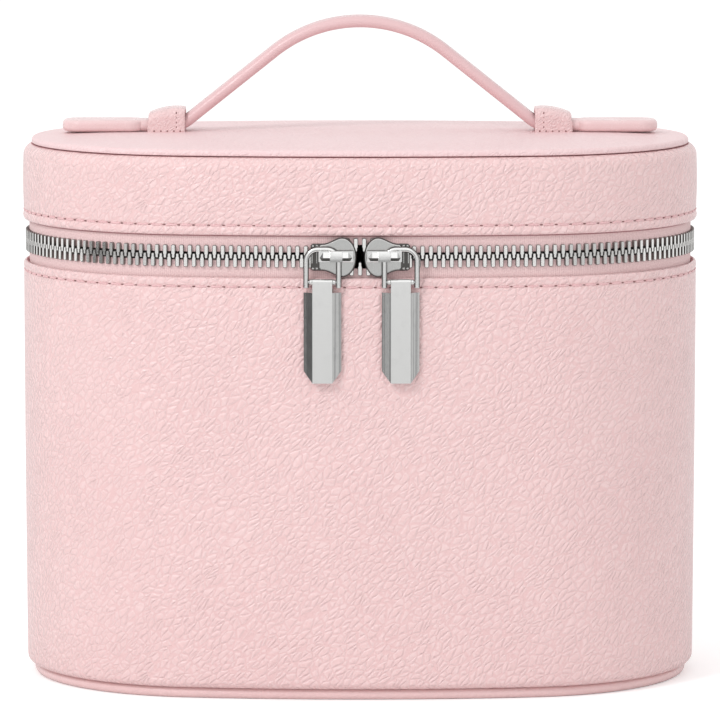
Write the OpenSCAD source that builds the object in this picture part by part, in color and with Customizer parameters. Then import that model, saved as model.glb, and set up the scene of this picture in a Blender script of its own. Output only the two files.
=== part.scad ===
// Oval hard-sided vanity case with a zipped lid.
// The walls are board, padded and skinned in leather, on a four-centre oval plan. A zip with
// two sliders runs round the front and both ends, and a leather panel at the back is the hinge.
// A strap handle passes through two leather keepers on the lid and slides in them.
// The front faces -Y, the hinge is at +Y, the case stands on z = 0. All sizes in millimetres.

/* [Case] */
// Radius of the round ends; with the bow it makes the width 210 and the depth 126
end_r = 59.5; // [57:0.5:64]
// How far the front and the back bow out past the round ends
bow = 3.5; // [3:0.5:4]
// Height of the body wall, from the base seam to its top hem
body_h = 126.4; // [100:0.1:160]
// How much the body wall draws in towards its foot
wall_lean = 0.5; // [0:0.1:1]
// Radius of the turned foot of the body wall
foot_round = 2.4; // [1.5:0.1:3]

/* [Base] */
// Height of the leather-covered base plate
base_h = 3.3; // [2.8:0.1:5]
// How far the base plate stands in from the wall
base_inset = 2.8; // [2:0.1:4]

/* [Lid] */
// Height of the lid wall, from its lower hem to the top seam
lid_h = 23.6; // [16:0.1:40]
// Radius of the turned top edge of the lid wall
lid_round = 3.6; // [2:0.1:5]
// How far the top panel stands in from the wall
top_inset = 2.6; // [2:0.1:4]
// Height of the top panel's turned rim
top_rim = 2; // [1.8:0.1:3]
// How far the padded top rises from its rim to its flat middle
top_crown = 1.4; // [0.8:0.1:3]
// How far in from its rim the padded top goes on rising
crown_reach = 28; // [15:1:30]

/* [Layers] */
// Thickness of the leather
leather_t = 1.2; // [0.8:0.1:1.4]
// Thickness of the turned-in edge behind the hems
fold_t = 0.4; // [0.3:0.1:0.5]
// Depth of the hems at the mouth of the body and the lid
hem_h = 7; // [4:0.5:9]
// Thickness of the padding under the leather
padding_t = 0.9; // [0.5:0.1:1.5]
// Thickness of the wall board
board_t = 1.8; // [1.2:0.1:3]
// Thickness of the floor board and the ceiling board
deck_t = 2; // [1.2:0.1:3]
// Thickness of the lining fabric
lining_t = 0.7; // [0.4:0.1:1]
// Layer of glue between two pieces
glue_t = 0.1; // [0.05:0.05:0.2]

/* [Hinge] */
// Width of the hinge panel at the back
hinge_w = 116; // [113:1:130]
// How far the hinge panel laps over the body wall
hinge_lap_body = 13; // [8:1:20]
// How far the hinge panel laps over the lid wall
hinge_lap_lid = 11; // [6:1:14]

/* [Zip] */
// Height of the gap between the two hems
zip_gap = 12.9; // [12.9:0.1:15]
// Distance between two teeth of one row
tooth_pitch = 2.52; // [2.5:0.02:3]
// Width of a tooth
tooth_w = 1.3; // [1.1:0.05:1.3]
// Thickness of the zip, through both legs of a tooth
tooth_depth = 2.8; // [2.4:0.1:3]
// Length of a tooth's legs, from the middle of the zip
tooth_leg = 3.35; // [3:0.05:3.4]
// Width of a tooth's head
head_w = 0.95; // [0.8:0.05:0.95]
// How far a head reaches past the middle of the zip
head_reach = 0.75; // [0.55:0.05:0.75]
// How far the row of teeth stands back from the leather
zip_inset = 0.6; // [0.5:0.1:0.8]
// Thickness of the zip tape
tape_t = 0.5; // [0.3:0.05:0.5]
// Width of each half of the tape
tape_w = 11.5; // [10:0.5:12]

/* [Sliders] */
// Length of a slider
slider_l = 14; // [14:0.5:16]
// Height of a slider's nose
nose_h = 12.1; // [12:0.1:12.2]
// Height of a slider's tail
tail_h = 8.4; // [8.4:0.1:9]
// Thickness of a slider's two plates
plate_t = 1; // [0.8:0.05:1]
// Gap between the noses of the two sliders when the zip is shut
nose_gap = 2.6; // [2.2:0.1:3.5]
// Length of the bridge on a slider
bridge_l = 10.6; // [10:0.1:11]
// Height of the bridge
bridge_h = 3.3; // [2.4:0.1:3.6]
// Thickness of the bridge's bar
bridge_t = 1.2; // [0.9:0.1:1.3]

/* [Pulls] */
// Thickness of the link's wire
wire_d = 1.5; // [1.2:0.1:1.6]
// Width of the link, outside its wire
link_w = 11.4; // [11:0.1:13]
// Height of the link's top bar above the pin
link_h = 9.6; // [9:0.1:11]
// Width of a pull
pull_w = 11.6; // [10:0.1:12]
// Length of a pull, from the pin to its tip
pull_l = 30.7; // [24:0.1:40]
// Thickness of a pull
pull_t = 2.6; // [2:0.1:2.8]
// Width of the flat facet on the front of a pull, and of its neck
facet_w = 6.2; // [5:0.1:6.6]
// Diameter of the pin that carries a pull
pin_d = 0.9; // [0.7:0.05:1]

/* [Handle] */
// Width of the strap
strap_w = 11; // [9:0.5:14]
// Thickness of the strap
strap_t = 3.6; // [3:0.1:4]
// Height of the handle above the top panel
handle_rise = 36; // [30:0.5:45]
// Radius of the middle of the handle
handle_bend = 42.8; // [38:0.2:44]
// Distance from the middle of the case to a keeper's inner edge
keeper_x = 54.4; // [52:0.2:58]
// Length of a keeper along the strap
keeper_l = 11.4; // [10:0.2:13]
// Height of a keeper at its inner edge
keeper_h = 7.7; // [7.2:0.1:9]
// Slope of a keeper's top, in degrees
keeper_slope = 9.5; // [6:0.5:11]
// Length of the pad at each end of the strap
pad_l = 26; // [20:0.5:27]
// Width of the pad at each end of the strap
pad_w = 15; // [14:0.5:18]

/* [Hidden] */

$fn = 120;
pink = "#f3cfd0";
pink_smooth = "#f1c6c9";
pink_tape = "#eec3c5";
fabric = "#e9d3cf";
foam = "#f4efe6";
fibre = "#b59a78";
steel = "#b9b9b7";
core = "#8f8a86";

// The oval plan: two end circles and two large arcs that touch them. The line from a large
// arc's centre through an end's centre to their join runs 13 across and 84 along in 85, so
// that every centre and radius is a round number
end_x = 13 * bow;
side_y = 84 * bow;
side_r = 85 * bow + end_r;
side_a = atan2(end_x, side_y);
half_w = end_r + end_x;
half_d = end_r + bow;
far = 10 * half_w;

// Running and seating clearances, and the overlap inside a piece made of a rim and a middle
seam = 0.1;
slip = 0.3;
lap = 1;

// Layers of the wall, measured in from the oval
in_fold = leather_t + fold_t;
in_padding = leather_t + glue_t;
in_tape = zip_inset + tooth_depth / 2 - tape_t / 2;
in_board = max(in_tape + tape_t, in_padding + padding_t) + glue_t;
in_lining = in_board + board_t + glue_t;
in_room = in_lining + lining_t;
turn_in = in_board + 7;
board_drop = 1.8;

// Heights
body_z = base_h + seam;
body_top = body_z + body_h;
zip_z = body_top + zip_gap / 2;
lid_z = body_top + zip_gap;
lid_top = lid_z + lid_h;
rim_z = lid_top + seam;
deck_z = rim_z + top_rim + top_crown;
floor_z = body_z + leather_t + glue_t;
ceiling_z = lid_top - leather_t - glue_t - deck_t;
rim_r = 1.1;
top_board_t = 0.6;

// The zip's run, along the middle of its tape
zip_in = zip_inset + tooth_depth / 2;
front_run = side_a * PI / 180 * (side_r - zip_in);
panel_a = asin((hinge_w / 2 - end_x) / end_r);
stop_w = 3;
stop_a = 180 - panel_a - 2 * stop_w / end_r * 180 / PI;
end_run = (stop_a - side_a) * PI / 180 * (end_r - zip_in);
tape_a = 180 - panel_a + 2;
neck_z = 0.45;
tape_edge = 1.75;

// Where the teeth part round the wedges of the two sliders
part_h = 2.35;
part_in = 5;
part_out = 10.5;

// The sliders
rest_x = nose_gap / 2 + slider_l / 2;
rest_a = rest_x / (side_r - zip_in) * 180 / PI;
channel_gap = 0.15;
plate_w = channel_gap - zip_inset;
face_w = plate_w + plate_t;
back_w = -zip_inset - tooth_depth - channel_gap;
post_u = -3.5;
post_r = 0.9;
bridge_z = 0.45;
wire_w = face_w + slip + wire_d / 2;
bridge_w = wire_w + wire_d / 2 + slip;

// The link and the pull hang in the plane of the wire, from the post
link_half = (link_w - wire_d) / 2;
link_round = 3.6;
link_top = bridge_z + wire_d / 2 + post_r + 0.42;
pin_z = link_top - link_h;
leg_below = 1.75;
neck_r = 1.25;
neck_bore = pin_d / 2 + 0.05;
shoulder = 2.95;
tip_cut = [2.9, 3.6];
pull_back = wire_w - neck_r + 0.1;
pull_edge = 0.55;

// The strap's centre line: a crown arc, a straight flank and a bend back to level
keeper_t = leather_t;
keeper_round = 2.6;
keeper_foot = 6;
strap_z = deck_z + glue_t + strap_t / 2;
crown_z = deck_z + handle_rise - strap_t / 2;
bend_r = 9;
bend_x = keeper_x + 4.3;
turns = handle_bend + bend_r;
fall = crown_z - strap_z;
link_line = norm([bend_x, turns - fall]);
flank_a = asin(turns / link_line) - atan2(turns - fall, bend_x);
flank_l = sqrt(link_line * link_line - turns * turns);
strap_skin = 0.9;
pad_x = keeper_x + keeper_l + 3 * slip;
pad_corner = 6;

function path_part(s) =
    let (t = min(1, max(0, (part_out - abs(s)) / (part_out - part_in))))
    part_h * t * t * (3 - 2 * t);

// ---- Building blocks -------------------------------------------------------------------

// Keeps the part of a full ring that stands over a flat outline
module over(outline) {
    intersection() {
        children();
        translate([0, 0, -half_w]) linear_extrude(4 * half_w) polygon(outline);
    }
}

// The front arc of the plan, swept with a profile of (distance out from the oval, height)
module front_arc() {
    over([[0, side_y], [-2 * end_x, -side_y], [2 * end_x, -side_y]])
        translate([0, side_y]) rotate_extrude($fn = 6 * $fn) translate([side_r, 0]) children();
}

// The right end of the plan, over an outline that starts at the end's own centre
module end_arc(outline) {
    over(concat([[end_x, 0]], outline))
        translate([end_x, 0]) rotate_extrude() translate([end_r, 0]) children();
}

// Sweeps a profile round the whole oval
module round_oval() {
    for (side = [0, 180]) rotate(side) {
        front_arc() children();
        end_arc([[2 * end_x, -side_y], [far, 0], [2 * end_x, side_y]]) children();
    }
}

// Sweeps a profile round the front and both ends, as far as angle a on the end circles
module round_front(a) {
    front_arc() children();
    for (side = [0, 1]) mirror([side, 0])
        end_arc([[2 * end_x, -side_y], [far, 0], [far, far],
            [end_x + far * sin(a), -far * cos(a)]]) children();
}

// Sweeps a profile round the back, as far as angle a from the middle on the end circles
module round_back(a) {
    rotate(180) front_arc() children();
    for (side = [0, 1]) mirror([side, 0])
        end_arc([[end_x + side_y * sin(a), side_y * cos(a)], [2 * end_x, side_y]]) children();
}

// The oval drawn in from the wall by a distance
module oval(inset) {
    for (side = [0, 180]) rotate(side) {
        translate([end_x, 0]) circle(end_r - inset);
        intersection() {
            translate([0, side_y]) circle(side_r - inset, $fn = 6 * $fn);
            polygon([[-end_x, 0], [-2 * end_x, -side_y], [2 * end_x, -side_y], [end_x, 0]]);
        }
    }
}

module slab(inset, z0, z1) {
    translate([0, 0, z0]) linear_extrude(z1 - z0) oval(inset);
}

// A plain ring of board, between two insets and two heights
module tube(in0, in1, z0, z1) {
    difference() {
        slab(in0, z0, z1);
        slab(in1, z0 - lap, z1 + lap);
    }
}

// The profile of a flat band of the wall, between two insets and two heights
module band(in0, in1, z0, z1) {
    polygon([[-in1, z0], [-in0, z0], [-in0, z1], [-in1, z1]]);
}

// An arc of points round [x, z], from angle a0 to a1
function arc(x, z, r, a0, a1, n = 6) =
    [for (i = [0:n]) let (a = a0 + (a1 - a0) * i / n) [x + r * cos(a), z + r * sin(a)]];

// Puts a piece on the zip at distance s from the middle of the front, facing out
module on_zip(s) {
    run = abs(s);
    side = sign(s);
    on_end = run > front_run;
    turn = on_end ? side_a + (run - front_run) / (end_r - zip_in) * 180 / PI
        : run / (side_r - zip_in) * 180 / PI;
    centre = on_end ? [side * end_x, 0, zip_z] : [0, side_y, zip_z];
    translate(centre) rotate([0, 0, side * turn])
        translate([0, on_end ? -end_r : -side_r, 0]) rotate([90, 0, 0]) children();
}

// Puts a piece on the front in a slider's own frame: x along the zip, y up, z out
module at_slider(side) {
    mirror([side > 0 ? 1 : 0, 0, 0]) on_zip(-rest_x) children();
}

// A strap's section: flat faces and fully rounded edges
module strap_section(w, t) {
    square([t, w - t], center = true);
    for (y = [-1, 1]) translate([0, y * (w - t) / 2]) circle(t / 2, $fn = 48);
}

// ---- Base and body ---------------------------------------------------------------------

// Leather under the base plate, turned up round its edge
module base_panel() {
    r = base_h / 2;
    middle = -base_inset - r;
    color(pink_smooth) {
        slab(base_inset + r, 0, leather_t);
        round_oval() polygon(concat(
            [[middle - lap, 0]], arc(middle, r, r, -90, 90, 10),
            [[middle, leather_t], [middle - lap, leather_t]]));
    }
}

module base_board() {
    color(fibre) slab(base_inset + base_h / 2 + glue_t, leather_t + glue_t, base_h);
}

// The leather wall, with its foot turned under and its top edge folded into a hem
module body_skin() {
    foot = wall_lean + foot_round;
    lip = (leather_t + fold_t) / 2;
    color(pink) round_oval() polygon(concat(
        [[-turn_in, body_z], [-foot, body_z]],
        arc(-foot, body_z + foot_round, foot_round, -80, 0),
        arc(-lip, body_top - lip, lip, 0, 180),
        [[-in_fold, body_top - hem_h], [-leather_t, body_top - hem_h],
         [-leather_t - wall_lean, body_z + foot_round], [glue_t - in_board, body_z + leather_t],
         [-turn_in, body_z + leather_t]]));
}

module body_padding() {
    color(foam) round_oval() polygon([
        [-in_padding - padding_t, floor_z + 1.5], [-in_padding - wall_lean, floor_z + 1.5],
        [-in_padding, body_top - hem_h - glue_t],
        [-in_padding - padding_t, body_top - hem_h - glue_t]]);
}

module body_board() {
    color(fibre) tube(in_board, in_board + board_t, floor_z, body_top - board_drop);
}

// The lining folds over the top of the board
module body_lining() {
    top = body_top - board_drop + glue_t;
    color(fabric) round_oval() polygon([
        [-in_room, floor_z + deck_t + glue_t], [-in_lining, floor_z + deck_t + glue_t],
        [-in_lining, top], [-in_board, top], [-in_board, top + lining_t],
        [-in_room, top + lining_t]]);
}

module floor_board() {
    color(fibre) slab(in_lining, floor_z, floor_z + deck_t);
}

module floor_lining() {
    z = floor_z + deck_t + glue_t;
    color(fabric) slab(in_room + glue_t, z, z + lining_t);
}

// ---- Lid -------------------------------------------------------------------------------

module lid_skin() {
    lip = (leather_t + fold_t) / 2;
    color(pink) round_oval() polygon(concat(
        arc(-lip, lid_z + lip, lip, -180, 0),
        arc(-lid_round, lid_top - lid_round, lid_round, 0, 90),
        [[-turn_in, lid_top], [-turn_in, lid_top - leather_t],
         [-in_board, lid_top - leather_t],
         [-leather_t, lid_top - lid_round], [-leather_t, lid_z + hem_h],
         [-in_fold, lid_z + hem_h]]));
}

module lid_padding() {
    color(foam) tube(in_padding, in_padding + padding_t, lid_z + hem_h + glue_t,
        lid_top - lid_round);
}

module lid_board() {
    color(fibre) tube(in_board, in_board + board_t, lid_z + board_drop, ceiling_z + deck_t);
}

module lid_lining() {
    foot = lid_z + board_drop - glue_t;
    color(fabric) round_oval() polygon([
        [-in_room, foot - lining_t], [-in_board, foot - lining_t], [-in_board, foot],
        [-in_lining, foot], [-in_lining, ceiling_z - glue_t], [-in_room, ceiling_z - glue_t]]);
}

module ceiling_board() {
    color(fibre) slab(in_lining, ceiling_z, ceiling_z + deck_t);
}

module ceiling_lining() {
    color(fabric) slab(in_room + glue_t, ceiling_z - glue_t - lining_t, ceiling_z - glue_t);
}

// The rise of the padded top, from its rim to its flat middle
function crown(t) = top_crown * (1 - (1 - t) * (1 - t));
crown_steps = 8;
function crown_line(x0, z0) = [for (i = [0:crown_steps])
    let (t = i / crown_steps) [x0 - crown_reach * t, z0 + crown(t)]];

// The slits where the legs of the keepers pass through the top
module keeper_slits(gap = glue_t) {
    for (x = [-1, 1], y = [-1, 1])
        translate([x * (keeper_x + keeper_l / 2), y * (strap_w / 2 + slip + keeper_t / 2), rim_z])
            cube([keeper_l + 2 * gap, keeper_t + 2 * gap, 2 * (deck_z - rim_z) + 1],
                center = true);
}

module top_panel() {
    z = rim_z + top_rim;
    x = -top_inset - rim_r;
    inner = crown_line(x, z - leather_t);
    end_x = x - crown_reach - lap;
    color(pink_smooth) difference() {
        union() {
            round_oval() polygon(concat(
                [[-top_inset, rim_z]], arc(x, z - rim_r, rim_r, 0, 90, 4), crown_line(x, z),
                [[end_x, deck_z], [end_x, deck_z - leather_t]],
                [for (i = [crown_steps:-1:0]) inner[i]], [[x, rim_z]]));
            slab(crown_reach - x, deck_z - leather_t, deck_z);
        }
        keeper_slits();
    }
}

module top_foam() {
    z0 = rim_z + top_board_t + glue_t;
    z1 = rim_z + top_rim - leather_t - glue_t;
    x = -top_inset - rim_r - glue_t;
    end_x = x - crown_reach - lap;
    color(foam) difference() {
        union() {
            round_oval() polygon(concat([[end_x, z0], [x, z0]], crown_line(x, z1),
                [[end_x, z1 + top_crown]]));
            slab(crown_reach - x, z0, z1 + top_crown);
        }
        keeper_slits();
    }
}

module top_board() {
    color(fibre) difference() {
        slab(top_inset + rim_r + glue_t, rim_z, rim_z + top_board_t);
        keeper_slits();
    }
}

// ---- Hinge -----------------------------------------------------------------------------

module hinge_panel() {
    color(pink) round_back(panel_a) polygon([
        [glue_t, body_top - hinge_lap_body], [glue_t + leather_t, body_top - hinge_lap_body],
        [glue_t + leather_t, lid_z + hinge_lap_lid], [glue_t, lid_z + hinge_lap_lid]]);
}

module hinge_lining() {
    color(fabric) round_back(panel_a) band(in_room + glue_t, in_room + glue_t + lining_t,
        body_top - hinge_lap_body + 3, lid_z + hinge_lap_lid - 3);
}

// ---- Zip -------------------------------------------------------------------------------

// The opening between the two tapes where the sliders part them, clear of each tooth's slot
module zip_eye() {
    reach = part_out + tooth_w;
    n = 24;
    outline = [for (i = [-n:n]) let (x = reach * i / n)
        [x, tape_edge + path_part(max(0, abs(x) - tooth_w / 2 - glue_t))]];
    translate([0, 1 - half_d, zip_z]) rotate([90, 0, 0]) linear_extrude(zip_in + 4)
        polygon(concat(outline, [for (i = [2 * n:-1:0]) [outline[i].x, -outline[i].y]]));
}

module tape(up) {
    z0 = up * tape_edge;
    z1 = up * tape_w;
    color(pink_tape) difference() {
        round_front(tape_a) translate([0, zip_z])
            band(in_tape, in_tape + tape_t, min(z0, z1), max(z0, z1));
        translate([0, in_tape + 2, 0]) zip_eye();
    }
}

module lower_tape() {
    tape(-1);
}

module upper_tape() {
    tape(1);
}

// A tooth points up from the lower tape: two legs clamp the tape, a narrow head interlocks
module tooth(up) {
    h = tooth_w / 2;
    n = head_w / 2;
    mirror([0, up > 0 ? 1 : 0, 0]) difference() {
        translate([0, 0, -zip_inset - tooth_depth]) linear_extrude(tooth_depth) polygon([
            [-h, -tooth_leg], [h, -tooth_leg], [h, -neck_z], [n, -neck_z], [n, head_reach],
            [-n, head_reach], [-n, -neck_z], [-h, -neck_z]]);
        translate([-tooth_w, -tooth_leg - 1, -in_tape - tape_t])
            cube([2 * tooth_w, tooth_leg + 1 - tape_edge, tape_t]);
    }
}

// The teeth of one row whose number along the zip lies between two limits
module teeth(up, first, last) {
    start = up > 0 ? 0.5 : 0;
    color(steel) for (i = [first:last]) let (s = (i + start) * tooth_pitch)
        on_zip(s) translate([0, up * path_part(s), 0]) tooth(up);
}

front_teeth = floor(front_run / tooth_pitch);
end_teeth = floor((front_run + end_run) / tooth_pitch) - 1;

module lower_teeth_front() {
    teeth(-1, -front_teeth, front_teeth);
}

module lower_teeth_right() {
    teeth(-1, front_teeth + 1, end_teeth);
}

module lower_teeth_left() {
    teeth(-1, -end_teeth, -front_teeth - 1);
}

module upper_teeth_front() {
    teeth(1, -front_teeth, front_teeth - 1);
}

module upper_teeth_right() {
    teeth(1, front_teeth, end_teeth - 1);
}

module upper_teeth_left() {
    teeth(1, -end_teeth, -front_teeth - 1);
}

// A metal stop clamped on the edge of each tape at the end of the zip
module end_stop(up, side) {
    foot = slip / 2;
    color(steel) on_zip(side * ((end_teeth + 1) * tooth_pitch + stop_w / 2))
        mirror([0, up > 0 ? 0 : 1, 0]) difference() {
            translate([-stop_w / 2, foot, -zip_inset - tooth_depth])
                cube([stop_w, tooth_leg - foot, tooth_depth]);
            translate([-stop_w, tape_edge - glue_t, -zip_in - tape_t / 2 - glue_t])
                cube([2 * stop_w, tooth_leg, tape_t + 2 * glue_t]);
        }
}

// ---- Sliders ---------------------------------------------------------------------------

// The outline of a slider's plate: a broad nose towards the middle and a narrower tail
module slider_outline(tail) {
    r = 3.5;
    nose = slider_l / 2;
    hull() {
        translate([nose - nose_h / 2, 0]) circle(nose_h / 2, $fn = 64);
        for (y = [-1, 1]) translate([nose - r - 0.45, y * (nose_h / 2 - r)]) circle(r, $fn = 48);
        for (y = [-1, 1]) translate([-nose + 0.8, y * (tail / 2 - 0.8)]) circle(0.8, $fn = 24);
    }
}

module slider(side) {
    lip_l = slider_l / 2 - 1.8;
    lip_t = 0.5;
    lip_y = tail_h / 2 - lip_t / 2;
    tape_room = 0.2;
    color(steel) at_slider(side) {
        translate([0, 0, plate_w]) linear_extrude(plate_t) slider_outline(tail_h);
        translate([0, 0, back_w - plate_t]) linear_extrude(plate_t) slider_outline(tail_h);
        // the wedge that joins the plates and parts the teeth
        translate([0, 0, back_w]) linear_extrude(plate_w - back_w)
            polygon([[0.4, 0.1], [4, 1.4], [5.4, 0.9], [5.4, -0.9], [4, -1.4], [0.4, -0.1]]);
        // the lips that keep the teeth in the channel
        for (y = [-1, 1]) translate([-slider_l / 2 + 0.4 + lip_l / 2, y * lip_y, 0]) {
            translate([0, 0, (plate_w - in_tape + tape_room) / 2])
                cube([lip_l, lip_t, plate_w + in_tape - tape_room], center = true);
            translate([0, 0, (back_w - in_tape - tape_t - tape_room) / 2])
                cube([lip_l, lip_t, -in_tape - tape_t - tape_room - back_w], center = true);
        }
    }
}

// The bridge stands on two posts, with a flat middle and sloping ends
module bridge(side) {
    x0 = post_u - post_r;
    far_post = x0 + bridge_l - post_r;
    slope = 2.6;
    drop = 0.5;
    color(steel) at_slider(side) {
        for (x = [post_u, far_post]) translate([x, bridge_z, face_w])
            cylinder(r = post_r, h = bridge_w - face_w, $fn = 40);
        translate([0, bridge_z + bridge_h / 2, 0]) rotate([90, 0, 0]) linear_extrude(bridge_h)
            polygon([[x0, bridge_w], [x0 + bridge_l, bridge_w],
                [x0 + bridge_l, bridge_w + bridge_t - drop],
                [x0 + bridge_l - slope, bridge_w + bridge_t], [x0 + slope, bridge_w + bridge_t],
                [x0, bridge_w + bridge_t - drop]]);
    }
}

// Puts a piece in the plane of the link's wire, its x and y along those of the slider
module at_link(side) {
    at_slider(side) translate([post_u, 0, wire_w]) children();
}

module link(side) {
    r = wire_d / 2;
    color(steel) at_link(side) difference() {
        union() {
            for (x = [-1, 1]) {
                translate([x * link_half, pin_z - leg_below, 0]) rotate([-90, 0, 0])
                    cylinder(r = r, h = link_top - link_round - pin_z + leg_below, $fn = 36);
                translate([x * (link_half - link_round), link_top - link_round, 0])
                    rotate([0, 0, x > 0 ? 0 : 90]) rotate_extrude(angle = 90)
                        translate([link_round, 0]) circle(r, $fn = 36);
            }
            translate([link_round - link_half, link_top, 0]) rotate([0, 90, 0])
                cylinder(r = r, h = 2 * (link_half - link_round), $fn = 36);
        }
        translate([-link_w, pin_z, 0]) rotate([0, 90, 0])
            cylinder(d = pin_d, h = 2 * link_w, $fn = 32);
    }
}

module pull_pin(side) {
    color(steel) at_link(side) translate([-link_w / 2 + 0.2, pin_z, 0]) rotate([0, 90, 0])
        cylinder(d = pin_d, h = link_w - 0.4, $fn = 32);
}

// A faceted bar that tapers to a cut tip, on a neck with the pin's bore
module pull(side) {
    w = pull_w / 2;
    f = facet_w / 2;
    back = pull_back - wire_w;
    color(steel) at_link(side) translate([0, pin_z, 0]) difference() {
        union() {
            intersection() {
                translate([0, -shoulder, 0]) rotate([90, 0, 0]) linear_extrude(pull_l - shoulder)
                    polygon([[-w, back], [w, back], [w, back + pull_edge], [f, back + pull_t],
                        [-f, back + pull_t], [-w, back + pull_edge]]);
                translate([0, 0, back - 1]) linear_extrude(pull_t + 2) polygon([
                    [-w, 0], [w, 0], [w, tip_cut.y - pull_l], [w - tip_cut.x, -pull_l],
                    [tip_cut.x - w, -pull_l], [-w, tip_cut.y - pull_l]]);
            }
            rotate([0, 90, 0]) cylinder(r = neck_r, h = facet_w, center = true, $fn = 48);
            translate([-f, -shoulder, back]) cube([facet_w, shoulder, neck_r - back]);
        }
        rotate([0, 90, 0]) cylinder(r = neck_bore, h = pull_w, center = true, $fn = 32);
    }
}

// ---- Handle ----------------------------------------------------------------------------

// The strap's centre line as [x, z, slope], and the points of a section of the strap
crown_steps_a = 10;
bend_steps = 6;
edge_steps = 6;
half_path = concat(
    [for (i = [0:crown_steps_a]) let (a = flank_a * i / crown_steps_a)
        [handle_bend * sin(a), crown_z - handle_bend * (1 - cos(a)), a]],
    [for (i = [bend_steps:-1:0]) let (a = flank_a * i / bend_steps)
        [bend_x - bend_r * sin(a), strap_z + bend_r * (1 - cos(a)), a]]);
path = concat([for (i = [len(half_path) - 1:-1:1])
    [-half_path[i].x, half_path[i].y, -half_path[i].z]], half_path);
function pill(w, t) = [for (side = [1, -1], i = [0:edge_steps])
    let (a = 180 * i / edge_steps - 90)
    [side * ((w - t) / 2 + t / 2 * cos(a)), side * t / 2 * sin(a)]];
function swept(section) = [for (p = path, q = section)
    [p.x + q.y * sin(p.z), q.x, p.y + q.y * cos(p.z)]];

// The two triangles of each patch of a swept wall of m points a ring, numbered from first
function wall(m, first = 0) = [for (i = [0:len(path) - 2], j = [0:m - 1])
    let (k = first + i * m, a = k + j, b = k + (j + 1) % m)
    each [[a, b, b + m], [a, b + m, a + m]]];
function flipped(faces) = [for (f = faces) [f[2], f[1], f[0]]];

module handle_core() {
    t = 2 * strap_skin + glue_t;
    section = pill(strap_w - t, strap_t - t);
    m = len(section);
    last = (len(path) - 1) * m;
    color(core) polyhedron(swept(section), concat(
        [[for (j = [m - 1:-1:0]) j]], wall(m), [[for (j = [0:m - 1]) last + j]]));
}

// The leather sleeve over the core, open at both ends
module handle_cover() {
    outer = pill(strap_w, strap_t);
    inner = pill(strap_w - 2 * strap_skin, strap_t - 2 * strap_skin);
    m = len(outer);
    n = len(path) * m;
    last = n - m;
    ring = [for (j = [0:m - 1]) let (k = (j + 1) % m) each [[k, j, n + j], [k, n + j, n + k]]];
    color(pink_smooth) polyhedron(concat(swept(outer), swept(inner)), concat(
        wall(m), flipped(wall(m, n)), ring,
        flipped([for (f = ring) [f[0] + last, f[1] + last, f[2] + last]])));
}

// A pad with fully rounded edges and rounded corners, its middle at the origin
module soft_pad(l, w, t, corner) {
    r = t / 2;
    turn = corner - r;
    x = l / 2 - corner;
    y = w / 2 - corner;
    linear_extrude(t, center = true) {
        square([l - 2 * r, 2 * y], center = true);
        square([2 * x, w - 2 * r], center = true);
        for (i = [-1, 1], j = [-1, 1]) translate([i * x, j * y]) circle(turn, $fn = 64);
    }
    for (q = [0:3]) translate([(q == 0 || q == 3 ? 1 : -1) * x, (q < 2 ? 1 : -1) * y, 0])
        rotate(90 * q) rotate_extrude(angle = 90) translate([turn, 0]) circle(r, $fn = 36);
    for (i = [-1, 1]) {
        translate([-x, i * (w / 2 - r), 0]) rotate([0, 90, 0])
            cylinder(r = r, h = 2 * x, $fn = 36);
        translate([i * (l / 2 - r), -y, 0]) rotate([-90, 0, 0])
            cylinder(r = r, h = 2 * y, $fn = 36);
    }
}

module handle_pad(side) {
    neck_x = bend_x + 0.1;
    color(pink_smooth) mirror([side < 0 ? 1 : 0, 0, 0]) {
        translate([pad_x + pad_l / 2, 0, strap_z]) soft_pad(pad_l, pad_w, strap_t, pad_corner);
        translate([neck_x, 0, strap_z]) rotate([0, 90, 0])
            linear_extrude(pad_x + strap_t - neck_x) strap_section(strap_w, strap_t);
    }
}

// A loop of leather over the strap, its legs passed through the top and turned out below it
module keeper(side) {
    outer_w = strap_w + 2 * (slip + keeper_t);
    foot_z = lid_top - leather_t;
    module loop(w, drop, r) {
        h = 4 * keeper_h;
        translate([keeper_x, 0, deck_z + keeper_h - drop]) rotate([0, keeper_slope, 0])
            translate([-keeper_l, 0, 0]) rotate([90, 0, 90]) linear_extrude(3 * keeper_l) {
                translate([-w / 2, -h]) square([w, h - r]);
                translate([r - w / 2, -h]) square([w - 2 * r, h]);
                for (y = [-1, 1]) translate([y * (w / 2 - r), -r]) circle(r, $fn = 40);
            }
    }
    color(pink) mirror([side < 0 ? 1 : 0, 0, 0]) {
        intersection() {
            difference() {
                loop(outer_w, 0, keeper_round);
                loop(outer_w - 2 * keeper_t, keeper_t, keeper_round - keeper_t);
            }
            translate([keeper_x, -outer_w, foot_z])
                cube([keeper_l, 2 * outer_w, 4 * keeper_h]);
        }
        for (y = [-1, 1])
            translate([keeper_x, (y * (outer_w + keeper_foot) - keeper_foot) / 2, foot_z])
                cube([keeper_l, keeper_foot, rim_z - glue_t - foot_z]);
    }
}

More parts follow.
